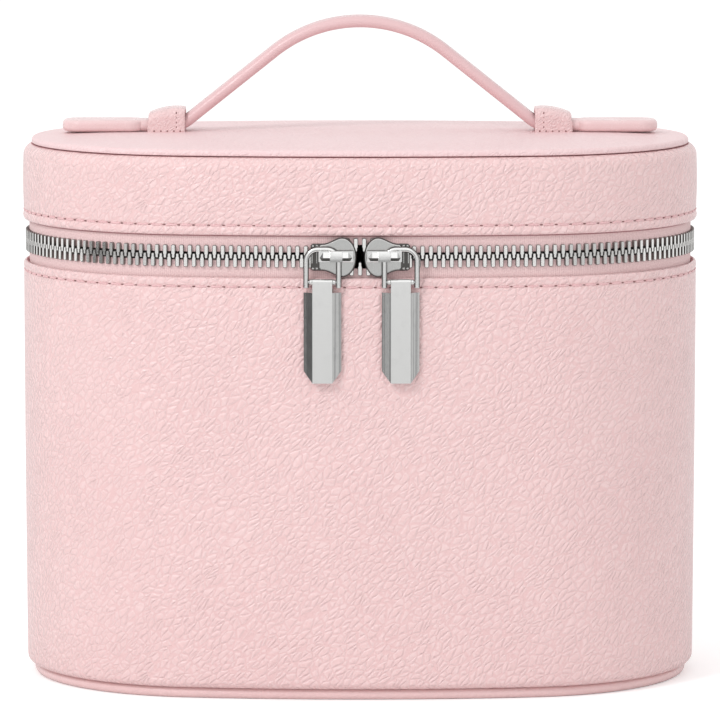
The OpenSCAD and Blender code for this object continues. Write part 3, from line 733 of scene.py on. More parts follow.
@dataclass(frozen=True)
class Plan:
    """The oval of the walls: two end circles and two large arcs. All sizes in millimetres."""

    end_r: float = 59.5
    bow: float = 3.5
    panel_half: float = 58.0
    side_steps: int = 30
    end_steps: int = 56

    @property
    def end_x(self) -> float:
        """How far an end circle's centre is from the middle."""
        return 13 * self.bow

    @property
    def side_y(self) -> float:
        """How far a large arc's centre is from the middle."""
        return 84 * self.bow

    @property
    def side_r(self) -> float:
        """The large arcs' radius."""
        return 85 * self.bow + self.end_r

    @property
    def side_a(self) -> float:
        """Half of a large arc's angle."""
        return math.atan2(self.end_x, self.side_y)

    @property
    def panel_a(self) -> float:
        """How far round the end circles the hinge panel reaches, from the back."""
        return math.asin((self.panel_half - self.end_x) / self.end_r)

    def lengths(self, inset: float = 0) -> tuple[float, float]:
        """The runs of half the front and of one end."""
        return (self.side_a * (self.side_r - inset),
                (math.pi - 2 * self.side_a) * (self.end_r - inset))

    def run_of(self, x: float, y: float) -> float:
        """How far round the wall a point is, from the middle of the front.

        Args:
            x: the point's x, in millimetres.
            y: the point's y.

        Returns:
            The run, less than nothing on the left.
        """
        front, end = self.lengths()
        ahead = math.atan2(abs(x), self.side_y - y)
        behind = math.atan2(abs(x), self.side_y + y)
        if y < 0 and ahead <= self.side_a:
            run = ahead * self.side_r
        elif y > 0 and behind <= self.side_a:
            run = 2 * front + end - behind * self.side_r
        else:
            run = front + (math.atan2(abs(x) - self.end_x, -y) - self.side_a) * self.end_r
        return math.copysign(run, x)

    def depth_of(self, face: BMFace) -> float:
        """How far in from the wall a face's middle is.

        Args:
            face: the face.

        Returns:
            The distance, in millimetres.
        """
        x, y, _ = middle(face)
        turn = math.atan2(abs(x), self.side_y + abs(y))
        if turn <= self.side_a:
            return self.side_r - math.hypot(x, self.side_y + abs(y))
        return self.end_r - math.hypot(abs(x) - self.end_x, y)

    def at(self, run: float, z: float, inset: float = 0) -> Matrix:
        """A frame on the wall: x along it, y up, z out.

        Args:
            run: how far round it is from the middle of the front.
            z: its height.
            inset: how far in from the wall the run is measured.

        Returns:
            The frame's matrix, in metres.
        """
        front, end = self.lengths(inset)
        side, way = (1 if run >= 0 else -1), abs(run)
        if way <= front:
            centre, radius, turn = (0, self.side_y), self.side_r, way / (self.side_r - inset)
        elif way <= front + end:
            centre, radius = (side * self.end_x, 0), self.end_r
            turn = self.side_a + (way - front) / (self.end_r - inset)
        else:
            centre, radius = (0, -self.side_y), self.side_r
            turn = math.pi - self.side_a + (way - front - end) / (self.side_r - inset)
        return (shift(*centre, z) @ Matrix.Rotation(side * turn, 4, "Z") @ shift(0, -radius, 0)
                @ Matrix.Rotation(math.pi / 2, 4, "X"))

    def carry(self, profile: Sequence[Point], closed: bool, start: float, end: float,
              side_steps: int | None = None) -> BMesh:
        """Sweeps a profile round part of the oval, against the clock as seen from above.

        Args:
            profile: points of distance out from the wall and height.
            closed: whether the profile closes.
            start: the heading at the first ring, in radians from the front.
            end: the heading at the last ring.
            side_steps: the steps across the front or the back.

        Returns:
            The mesh, its seam closed, its holes open.
        """
        a, pi, big, small = self.side_a, math.pi, side_steps or self.side_steps, self.end_steps
        stops = [(-pi - a, -pi + a, (0, -self.side_y), big), (-pi + a, -a, (-self.end_x, 0), small),
                 (-a, a, (0, self.side_y), big), (a, pi - a, (self.end_x, 0), small),
                 (pi - a, pi + a, (0, -self.side_y), big)]
        sweep: Sweep | None = None
        for low, high, centre, steps in stops:
            first, last = max(low, start), min(high, end)
            if last - first < 1e-6:
                continue
            if sweep is None:
                radius = self.side_r if centre[0] == 0 else self.end_r
                sweep = Sweep([((centre[0] + (radius + out) * math.sin(first)) * MM,
                                (centre[1] - (radius + out) * math.cos(first)) * MM, z * MM)
                               for out, z in profile], closed)
            count = max(2, round(steps * (last - first) / (high - low)))
            sweep.spin((centre[0] * MM, centre[1] * MM, 0), (0, 0, 1), last - first, count)
        assert sweep is not None
        bmesh.ops.remove_doubles(sweep.bm, verts=sweep.bm.verts, dist=1e-6)
        return sweep.bm

    def ring(self, profile: Sequence[Point], closed: bool = True) -> BMesh:
        """Sweeps a profile all the way round."""
        return sealed(self.carry(profile, closed, -math.pi, math.pi))

    def chart(self, bm: BMesh) -> BMesh:
        """Gives a swept mesh its surface map: along the wall and across it, or flat from above.

        Args:
            bm: the mesh.

        Returns:
            The same mesh.
        """
        uv = bm.loops.layers.uv.new(RUN)
        across = bm.verts.layers.float["run"]
        front, end = self.lengths()
        whole = (4 * front + 2 * end) * MM
        for face in bm.faces:
            level = abs(face.normal.z) > 0.55
            runs = [self.run_of(c.vert.co.x / MM, c.vert.co.y / MM) * MM for c in face.loops]
            wraps = max(runs) - min(runs) > whole / 2
            ways = [c.vert[across] for c in face.loops]
            leap = max(ways) - min(ways) > 0.03
            for corner, run, way in zip(face.loops, runs, ways):
                co = corner.vert.co
                along = run + (whole if wraps and run < 0 else 0)
                corner[uv].uv = (co.x, co.y) if level else (along, co.z if leap else way)
        return bm


def chart_box(bm: BMesh) -> BMesh:
    """Gives a mesh a surface map from the side that each face looks to.

    Args:
        bm: the mesh.

    Returns:
        The same mesh.
    """
    uv = bm.loops.layers.uv.get(RUN) or bm.loops.layers.uv.new(RUN)
    for face in bm.faces:
        normal = [abs(c) for c in face.normal]
        hidden = normal.index(max(normal))
        first, second = [i for i in range(3) if i != hidden]
        for corner in face.loops:
            corner[uv].uv = (corner.vert.co[first], corner.vert.co[second])
    return bm


# ---- Pieces ----


@dataclass(frozen=True)
class Piece:
    """How a finished mesh joins the frame."""

    name: str
    body: str
    finish: Finish
    nodes: tuple[str, ...] = ()
    more: tuple[Finish, ...] = ()
    smooth: float = 38

    def object(self, bm: BMesh) -> bpy.types.Object:
        """Makes the object and gives it its finishes.

        Args:
            bm: its mesh, which is used up.

        Returns:
            The object, which rides on nothing yet.
        """
        if not bm.loops.layers.uv.get(RUN):
            chart_box(bm)
        mesh = kept(self.name, bm, *(finish.material() for finish in (self.finish, *self.more)))
        mesh.polygons.foreach_set("use_smooth", [True] * len(mesh.polygons))
        mesh.set_sharp_from_angle(angle=math.radians(self.smooth))
        made = hung(self.name, mesh)
        if self.nodes:
            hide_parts(*self.nodes)
        LOG.info("%s: %d faces, on %s", self.name, len(mesh.polygons), self.body)
        return made

    def place(self, bm: BMesh) -> bpy.types.Object:
        """Makes the object and puts it on its body."""
        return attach(self.object(bm), self.body)


def paint(bm: BMesh, chosen: Callable[[BMFace], bool], material: int = 1) -> BMesh:
    """Gives some faces another of the piece's finishes.

    Args:
        bm: the mesh.
        chosen: a test of a face.
        material: the finish's number.

    Returns:
        The same mesh.
    """
    for face in bm.faces:
        if chosen(face):
            face.material_index = material
    return bm


@dataclass(frozen=True)
class Heights:
    """The heights and wall layers that the pieces share, in millimetres."""

    body_z: float = 3.4
    body_top: float = 129.8
    zip_z: float = 136.25
    lid_z: float = 142.7
    lid_top: float = 166.3
    rim_z: float = 166.4
    deck_z: float = 169.8
    board: float = 2.35
    lining: float = 4.25
    room: float = 4.95


@dataclass(frozen=True)
class Stitching:
    """A row of pink stitches with a needle hole at each end of every stitch."""

    pitch: float = 4.6
    thread: float = 3.1
    radius: float = 0.27
    hole_r: float = 0.5

    def hole(self, stretch: Sequence[float]) -> Stamp:
        """A needle hole, a small stamp that takes a dark colour as painted shade for the hollow of the hole.

        Args:
            stretch: its size on three axes, as shares of a ball.

        Returns:
            The stamp that makes it.
        """
        bm = bmesh.new()
        bmesh.ops.create_icosphere(bm, subdivisions=2, radius=self.hole_r * MM,
                                   matrix=Matrix.Diagonal((*stretch, 1)))
        return Stamp(kept("needle_hole", bm))

    def sew(self, name: str, body: str, sink: float,
            *rows: tuple[Callable[[float], Matrix], float, float]) -> None:
        """Sews rows of stitches as one piece.

        Args:
            name: the piece's name.
            body: the body that it rides on.
            sink: how far the rows stand out of their frames' planes.
            rows: each row's frame at a run along it, and the runs at its start and its end.
        """
        bm = bmesh.new()
        stitch = Stamp(kept("stitch", rod(self.radius, self.thread, "X", 0.16, 8)))
        hole, lift = self.hole((1.0, 0.36, 0.42)), shift(0, 0, sink)
        for frames, start, end in rows:
            count = max(1, round((end - start) / self.pitch))
            step = (end - start) / count
            stitch.press(bm, (frames(start + (i + 0.5) * step) @ lift for i in range(count)))
            # The holes are dark stamps: painted shade.
            hole.press(bm, (frames(start + i * step) @ lift for i in range(count)), 1)
        Piece(name, body, THREAD, more=(NEEDLE_HOLE_SHADE,), smooth=60).place(bm)


@dataclass(frozen=True)
class Walls:
    """The case and the lid: base, skins, linings, padding, boards and the padded top."""

    plan: Plan
    z: Heights
    foot: float = 2.4
    lean: float = 0.5
    base_h: float = 3.3
    base_inset: float = 2.8
    base_reach: float = 16.0
    edge: float = 3.6
    rim_inset: float = 2.6
    rim_r: float = 1.1
    crown: float = 1.4
    reach: float = 28.0
    hem_line: float = 2.8
    lid_line: float = 3.0
    skin: float = 1.2
    hem_t: float = 1.6
    hem_h: float = 7.0
    turned: float = -9.35
    rim_lip: float = 0.42
    panel_t: float = 2.0
    foam_out: float = -1.3
    foam_in: float = -2.2
    floor_z: float = 6.8
    ceiling_z: float = 162.2
    lid_lining_top: float = 162.9
    lining_reach: float = 18.0

    def wrap(self, name: str, node: str, body: str, finish: Finish, profile: Sequence[Point],
             closed: bool = True, cut: Sequence[Callable[[BMFace], bool]] = ()) -> bpy.types.Object:
        """Carries a profile round the oval as one finished piece.

        Args:
            name: the piece's name.
            node: the solid that it stands for.
            body: the body that it rides on.
            finish: its finish.
            profile: points of distance out from the wall and height.
            closed: whether the profile closes.
            cut: tests of the faces painted dark rose, as painted shade where the hems and the rim throw
                shadow.

        Returns:
            The piece's object.
        """
        bm = self.plan.chart(self.plan.ring(profile, closed))
        for test in cut:
            paint(bm, test)
        return Piece(name, body, finish, (node,), (PAINTED_SHADE_EDGE,) if cut else ()).place(bm)

    def groove(self, z: float, out: float) -> list[Point]:
        """The channel that a row of stitches lies in."""
        shape = [(0.0, -0.75), (-0.1, -0.45), (-0.26, -0.2), (-0.3, 0.0)]
        return [(out + x, z + y) for x, y in [*shape, *[(x, -y) for x, y in shape[2::-1]]]]

    def base(self) -> None:
        """The leather under the base, turned up round its edge."""
        r, inner = self.base_h / 2, -self.base_reach
        rim = -self.base_inset - r
        line = [(-6.4, 0.0), (-6.0, 0.12), (-5.6, 0.0)]
        profile = [(inner, 0.0), *line, *arc(rim, r, r, -90, 90, 14), (rim, self.skin), (inner, self.skin)]
        self.wrap("base_cover", "base_panel", "case", BASE_LEATHER, profile, False)

    def body_skin(self) -> None:
        """The leather wall of the body, with its foot turned under and a sewn hem at its mouth."""
        z0, z1, lean, foot, skin, turned = (self.z.body_z, self.z.body_top, self.lean, self.foot, self.skin,
                                            self.turned)
        rise = [(-lean * (1 - t) + 0.12 * math.sin(math.pi * t), z0 + foot + (z1 - 4.2 - z0 - foot) * t)
                for t in (0.06, 0.15, 0.3, 0.45, 0.6, 0.75, 0.88, 0.97)]
        profile = [(turned, z0), (-lean - foot, z0), *arc(-lean - foot, z0 + foot, foot, -80, 0, 10),
                   *rise, *self.groove(z1 - self.hem_line, -0.02), (0.08, z1 - 1.6),
                   *arc(-0.78, z1 - 0.8, 0.82, 0, 180, 12), (-self.hem_t, z1 - self.hem_h),
                   (-skin, z1 - self.hem_h),
                   (-skin - lean, z0 + foot), (-2.25, z0 + skin), (turned, z0 + skin)]
        # The inner side of the hem's fold at the mouth is painted dark rose: painted shade in the recess
        # beside the tape.
        self.wrap("body_leather", "body_skin", "case", WALL_LEATHER, profile, True,
                  [lambda f: middle(f).z > z1 - 0.9 and self.plan.depth_of(f) > 0.8])

    def lid_skin(self) -> None:
        """The leather wall of the lid, with a full hem at its mouth and a round top edge."""
        z0, z1, r, skin, turned = self.z.lid_z, self.z.lid_top, self.edge, self.skin, self.turned
        wall = [(0.22 * math.sin(math.pi * t) - 0.02, z0 + 4.2 + (z1 - r - z0 - 4.2) * t)
                for t in (0.08, 0.25, 0.45, 0.65, 0.85)]
        profile = [*arc(-0.8, z0 + 0.8, 0.8, -180, -40, 10), (0.1, z0 + 0.8), (0.2, z0 + 1.5),
                   *self.groove(z0 + self.lid_line, 0.02), *wall, *arc(-r, z1 - r, r, 0, 90, 14),
                   (turned, z1), (turned, z1 - skin), (-2.35, z1 - skin), (-skin, z1 - r),
                   (-skin, z0 + self.hem_h), (-self.hem_t, z0 + self.hem_h)]
        # The hem's underside gets painted shade, a dark line under the hem, and the turned-in top under the
        # rim gets painted shade too.
        self.wrap("lid_leather", "lid_skin", "lid", WALL_LEATHER, profile, True,
                  [lambda f: middle(f).z < z0 + 0.9 and self.plan.depth_of(f) > 0.6,
                   lambda f: middle(f).z > z1 - 0.35 and self.plan.depth_of(f) > 2.5])

    def rise(self, x: float, z: float) -> list[Point]:
        """The line of the padded top, from its rim inwards."""
        ways = [i / 14 for i in range(15)]
        return [(x - self.reach * t, z + self.crown * (1 - (1 - t) ** 2)) for t in ways]

    def top(self) -> None:
        """The padded top and the foam under it."""
        z, r, lip, t = self.z.rim_z, self.rim_r, self.rim_lip, self.panel_t
        x = -self.rim_inset - r
        inner = x - self.reach - 2
        panel = [(inner, self.z.deck_z - 1.2), *self.rise(x, z + 0.8)[::-1], (x, z),
                 *arc(-self.rim_inset - lip, z + lip, lip, -90, 0, 4), *arc(x, z + t - r, r, 0, 82, 9),
                 *self.rise(x, z + t)[1:], (inner, self.z.deck_z)]
        # The rim's underside is painted dark rose: painted shade in the crease under the rim.
        self.wrap("top_leather_panel", "top_panel", "lid", TOP_LEATHER, panel, False,
                            [lambda f: middle(f).z < z + 0.16])
        z += 0.7
        foam = [(inner, z), (x - 0.1, z), *self.rise(x - 0.1, z)[1:], (inner, z + self.crown)]
        self.wrap("top_foam_pad", "top_foam", "lid", FOAM, foam, False)

    def padding(self) -> None:
        """The padding under the two walls."""
        z, under, near = self.z, self.foam_in, self.foam_out
        low, mouth, hem, top = z.body_z + 2.8, z.body_top - 7.1, z.lid_z + 7.1, z.lid_top - 3.6
        body = [(under, low), (-1.85, low), (near, mouth), (under, mouth)]
        lid = [(under, hem), (near, hem), (near, top), (under, top)]
        for node, on, profile in (("body_padding", "case", body), ("lid_padding", "lid", lid)):
            self.wrap(f"{node}_foam", node, on, FOAM, profile)

    def linings(self) -> None:
        """The lining cloth on the walls, the floor and the ceiling."""
        z, room, wall, board = self.z, -self.z.room, -self.z.lining, -self.z.board
        top, foot, low, high, r = z.body_top - 1.7, z.lid_z + 1.7, self.floor_z, self.lid_lining_top, 0.35
        body = [(room, low), (wall, low), (wall, top), (board, top), *arc(board - r, top + r, r, 0, 90, 4),
                *arc(room + 0.6, top + 0.1, 0.6, 90, 180, 6)]
        lid = [*arc(room + 0.6, foot - 0.1, 0.6, 180, 270, 6), *arc(board - r, foot - r, r, -90, 0, 4),
               (board, foot), (wall, foot), (wall, high), (room, high)]
        for node, on, profile in (("body_lining", "case", body), ("lid_lining", "lid", lid)):
            self.wrap(f"{node}_cloth", node, on, LINING_CLOTH, profile)
        for node, on, z0 in (("floor_lining", "case", low), ("ceiling_lining", "lid", self.ceiling_z)):
            flat = [(-self.lining_reach, z0), (room - 0.3, z0), *arc(room - 0.4, z0 + r, 0.3, -90, 90, 6),
                    (-self.lining_reach, z0 + 0.7)]
            self.wrap(f"{node}_cloth", node, on, LINING_CLOTH, flat, False)

    def boards(self) -> None:
        """The boards keep their own shape and get their finish."""
        for part in ("base", "body", "floor", "lid", "ceiling", "top"):
            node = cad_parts[f"{part}_board"]
            node.data.materials.clear()
            node.data.materials.append(BOARD.material())

    def stitches(self) -> None:
        """The rows of stitches along both hems, as far as the hinge panel."""
        front, end = self.plan.lengths()
        reach = front + end * 0.985
        for name, on, z, out in (("body_stitches", "case", self.z.body_top - self.hem_line, -0.22),
                                 ("lid_stitches", "lid", self.z.lid_z + self.lid_line, -0.18)):
            Stitching().sew(name, on, out, (lambda run, z=z: self.plan.at(run, z), -reach, reach))

    def build(self) -> None:
        """Builds every piece of the walls."""
        for step in (self.base, self.body_skin, self.lid_skin, self.top, self.padding, self.linings,
                     self.boards, self.stitches):
            step()


@dataclass(frozen=True)
class Hinge:
    """The leather panel at the back that the lid turns on, and the cloth inside it."""

    plan: Plan
    z: Heights
    lap_body: float = 13.0
    lap_lid: float = 11.0
    face: float = 1.3
    cloth_t: float = 0.7
    seam: float = 2.6
    thread_out: float = 1.14
    tucked: float = 1.6

    def band(self, inner: float, outer: float, low: float, high: float, groove: bool) -> BMesh:
        """A band round the back, cut fine enough to bend.

        Args:
            inner: its inner face, out from the wall.
            outer: its outer face.
            low: its lower edge.
            high: its upper edge.
            groove: whether rows of stitches lie in it.

        Returns:
            The mesh.
        """
        def dip(z: float) -> float:
            """How deep the channels of both rows of stitches are at one height."""
            return sum(0.18 * math.exp(-(((z - row) / 0.5) ** 2))
                       for row in (low + self.seam, high - self.seam))

        rows = [low + 0.4 + (high - low - 0.8) * i / 40 for i in range(41)]
        sunk = [outer - (dip(z) if groove else 0) for z in rows]
        profile = [*[(inner, z) for z in rows[::-1]], (outer - 0.35, low), *zip(sunk, rows),
                   (outer - 0.35, high)]
        bm = self.plan.carry(profile, True, math.pi - self.plan.panel_a, math.pi + self.plan.panel_a)
        if groove:
            self.tuck(bm)
        return self.plan.chart(sealed(bm))

    def tuck(self, bm: BMesh) -> None:
        """Turns both ends of the panel in between the hems, down to the tapes.

        Args:
            bm: the panel's mesh, which changes in place.
        """
        end_r, centre = self.plan.end_r, self.plan.end_x
        for vert in bm.verts:
            x, y, z = (c / MM for c in vert.co)
            out, turn = math.hypot(abs(x) - centre, y), math.atan2(abs(x) - centre, y)
            if turn > self.plan.panel_a - 0.01 and out < end_r + 0.2 and abs(z - self.z.zip_z) < 5.5:
                less = (end_r - self.tucked) / out
                vert.co.x, vert.co.y = math.copysign(centre + (abs(x) - centre) * less, x) * MM, y * less * MM

    def sewn(self) -> None:
        """The stitches round the panel, on the body and on the lid."""
        front, end = self.plan.lengths()
        whole = 2 * (2 * front + end)
        reach = front + (self.plan.panel_a - self.plan.side_a) * self.plan.end_r - self.seam
        low, high = self.z.body_top - self.lap_body + self.seam, self.z.lid_z + self.lap_lid - self.seam

        def level(z: float) -> Callable[[float], Matrix]:
            """Frames along the back at one height."""
            return lambda run: self.plan.at(whole / 2 + run if run < 0 else run - whole / 2, z)

        def upright(run: float) -> Callable[[float], Matrix]:
            """Frames up the back at one run."""
            return lambda z: level(z)(run) @ Matrix.Rotation(math.pi / 2, 4, "Z")

        for name, on, z, first, last in (("hinge_stitches_body", "case", low, low, self.z.body_top - 1.5),
                                         ("hinge_stitches_lid", "lid", high, self.z.lid_z + 1.5, high)):
            Stitching().sew(name, on, self.thread_out, (level(z), -reach, reach),
                            *((upright(run), first, last) for run in (-reach, reach)))

    def build(self) -> None:
        """Builds the panel and its lining, and bends them between the body and the lid."""
        low, high = self.z.body_top - self.lap_body, self.z.lid_z + self.lap_lid
        back = (self.plan.end_r + self.plan.bow) * MM
        panel = Piece("hinge_leather", "case", WALL_LEATHER, ("hinge_panel",))
        cloth = Piece("hinge_cloth", "case", LINING_CLOTH, ("hinge_lining",))
        inside = -self.z.room - 0.1
        for piece, bm in ((panel, self.band(0.1, self.face, low, high, True)),
                          (cloth, self.band(inside - self.cloth_t, inside, low + 3, high - 3, False))):
            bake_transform(piece.object(bm), "case", "lid", start=(0, back, self.z.body_top * MM),
                     end=(0, back, self.z.lid_z * MM))
        self.sewn()


@dataclass(frozen=True)
class Zip:
    """The zip: two tapes, their rows of teeth and the stops at their ends."""

    plan: Plan
    z: Heights
    pitch: float = 2.52
    inset: float = 0.6
    depth: float = 2.8
    width: float = 1.3
    leg: float = 3.35
    head: float = 0.95
    reach: float = 0.75
    neck: float = 0.45
    tape_edge: float = 1.75
    tape_w: float = 11.5
    tape_t: float = 0.5
    part: float = 2.35
    part_in: float = 5.0
    part_out: float = 10.5
    stop_w: float = 3.0
    foot: float = 0.3
    corner: float = 0.22
    drawn: float = 5.2
    shut: float = 1.25

    @property
    def middle(self) -> float:
        """How far in the middle of the zip lies."""
        return self.inset + self.depth / 2

    @property
    def stop_a(self) -> float:
        """How far round the end circles the last stops lie, from the front."""
        return math.pi - self.plan.panel_a - 2 * self.stop_w / self.plan.end_r

    def parted(self, run: float) -> float:
        """How far the two halves part at a run along the zip."""
        return self.part * ease((self.part_out - abs(run)) / (self.part_out - self.part_in))

    def tooth(self) -> Stamp:
        """One tooth: two legs with a cut foot, and a narrower head, its sides and eased edges painted dark as
        shade.

        Returns:
            The stamp that makes it.
        """
        h, n, foot, corner = self.width / 2, self.head / 2, self.foot, self.corner
        right = [(h - foot, -self.leg), (h, -self.leg + foot), (h, -self.neck - 0.12), (n, -self.neck + 0.1),
                 (n, self.reach - corner), (n - corner, self.reach)]
        outline = [(foot - h, -self.leg), *right, *[(-x, y) for x, y in right[:0:-1]]]
        bm = slab(outline, -self.inset - self.depth, -self.inset)
        face = max(bm.faces, key=lambda f: f.calc_center_median().z)
        round_edges(bm, 0.15, 1, 60, lambda e: face in e.link_faces)
        # The sides and eased edges are painted dark: painted shade and dark reflection that outline each
        # tooth.
        return Stamp(kept("tooth", paint(bm, lambda f: f.normal.z < 0.9)))

    def teeth(self, half: Half) -> None:
        """The teeth of one half, in three groups as the solids are.

        Args:
            half: the half of the zip.
        """
        front_run = self.plan.side_a * (self.plan.side_r - self.middle)
        end_run = (self.stop_a - self.plan.side_a) * (self.plan.end_r - self.middle)
        front, last = int(front_run / self.pitch), int((front_run + end_run) / self.pitch) - 1
        offset, less = (0.5, 1) if half is Half.UPPER else (0, 0)
        tooth = self.tooth()
        flip = Matrix.Diagonal((1, -half.value, 1, 1))
        spans = {"front": (-front, front - less), "right": (front + 1 - less, last - less),
                 "left": (-last, -front - 1)}
        for where, (first, end) in spans.items():
            bm = bmesh.new()
            runs = [(i + offset) * self.pitch for i in range(first, end + 1)]
            tooth.press(bm, (self.plan.at(s, self.z.zip_z + half.value * self.parted(s), self.middle) @ flip
                             for s in runs))
            node = f"{half.word}_teeth_{where}"
            Piece(f"{node}_cast", half.body, TOOTH_METAL, (node,), (TOOTH_PAINTED_SHADE,), 30).place(bm)
        self.stops(half, last)

    def stops(self, half: Half, last: int) -> None:
        """The clamps at both ends of one half.

        Args:
            half: the half of the zip.
            last: the number of the last tooth.
        """
        w = self.stop_w / 2
        run = (last + 1) * self.pitch + w
        for side in Side:
            bm = round_edges(box(-w, w, 0.15, self.leg, -self.inset - self.depth, -self.inset), 0.35, 3)
            frame_at = self.plan.at(side.value * run, self.z.zip_z, self.middle)
            moved(bm, frame_at @ Matrix.Diagonal((1, half.value, 1, 1)))
            node = f"{half.word}_stop_{side.word}"
            Piece(f"{node}_clamp", half.body, TOOTH_METAL, (node,)).place(bm)

    def tape(self, half: Half) -> None:
        """One tape, its inner edge drawn back round the sliders.

        Args:
            half: the half of the zip.
        """
        near = -self.middle + self.tape_t / 2
        hem = self.z.lid_z - self.z.zip_z
        rows = [self.tape_edge - 0.5, 1.6, 2.1, 2.9, 3.8, hem - 0.45, hem, hem + 1, 8.5, 10, self.tape_w]
        profile = [(near, half.value * z) for z in rows]
        profile += [(near - self.tape_t, z) for _, z in profile[::-1]]
        angle = math.pi - self.plan.side_a + math.radians(1)
        bm = self.plan.carry([(out, self.z.zip_z + z) for out, z in profile], True, -angle, angle, 180)
        sealed(bm)
        for vert in bm.verts:
            x, y, z = (c / MM for c in vert.co)
            off = abs(z - self.z.zip_z)
            round_end = math.atan2(max(0.0, abs(x) - self.plan.end_x), -y)
            shut = ease((round_end - self.stop_a) / 0.04) * max(0.0, self.tape_edge + 0.5 - off) * self.shut
            vert.co.z -= half.value * shut * MM
            run = self.plan.run_of(x, y) if y < 0 else 99.0
            clear = max(0.0, abs(run) - self.width / 2 - 0.1)
            pull = self.parted(clear) * (1 - ease((off - self.tape_edge + 0.5) / self.drawn))
            vert.co.z += half.value * pull * MM
        # A band of the upper tape just below the lid's hem is painted dark rose: a painted shadow of the hem.
        if half is Half.UPPER:
            paint(bm, lambda f: middle(f).z > self.z.lid_z - 0.5)
        Piece(f"{half.word}_tape_cloth", half.body, TAPE_CLOTH, (f"{half.word}_tape",), (PAINTED_SHADE_EDGE,)).place(
            self.plan.chart(bm))

    def build(self) -> None:
        """Builds both halves."""
        for half in Half:
            self.tape(half)
            self.teeth(half)


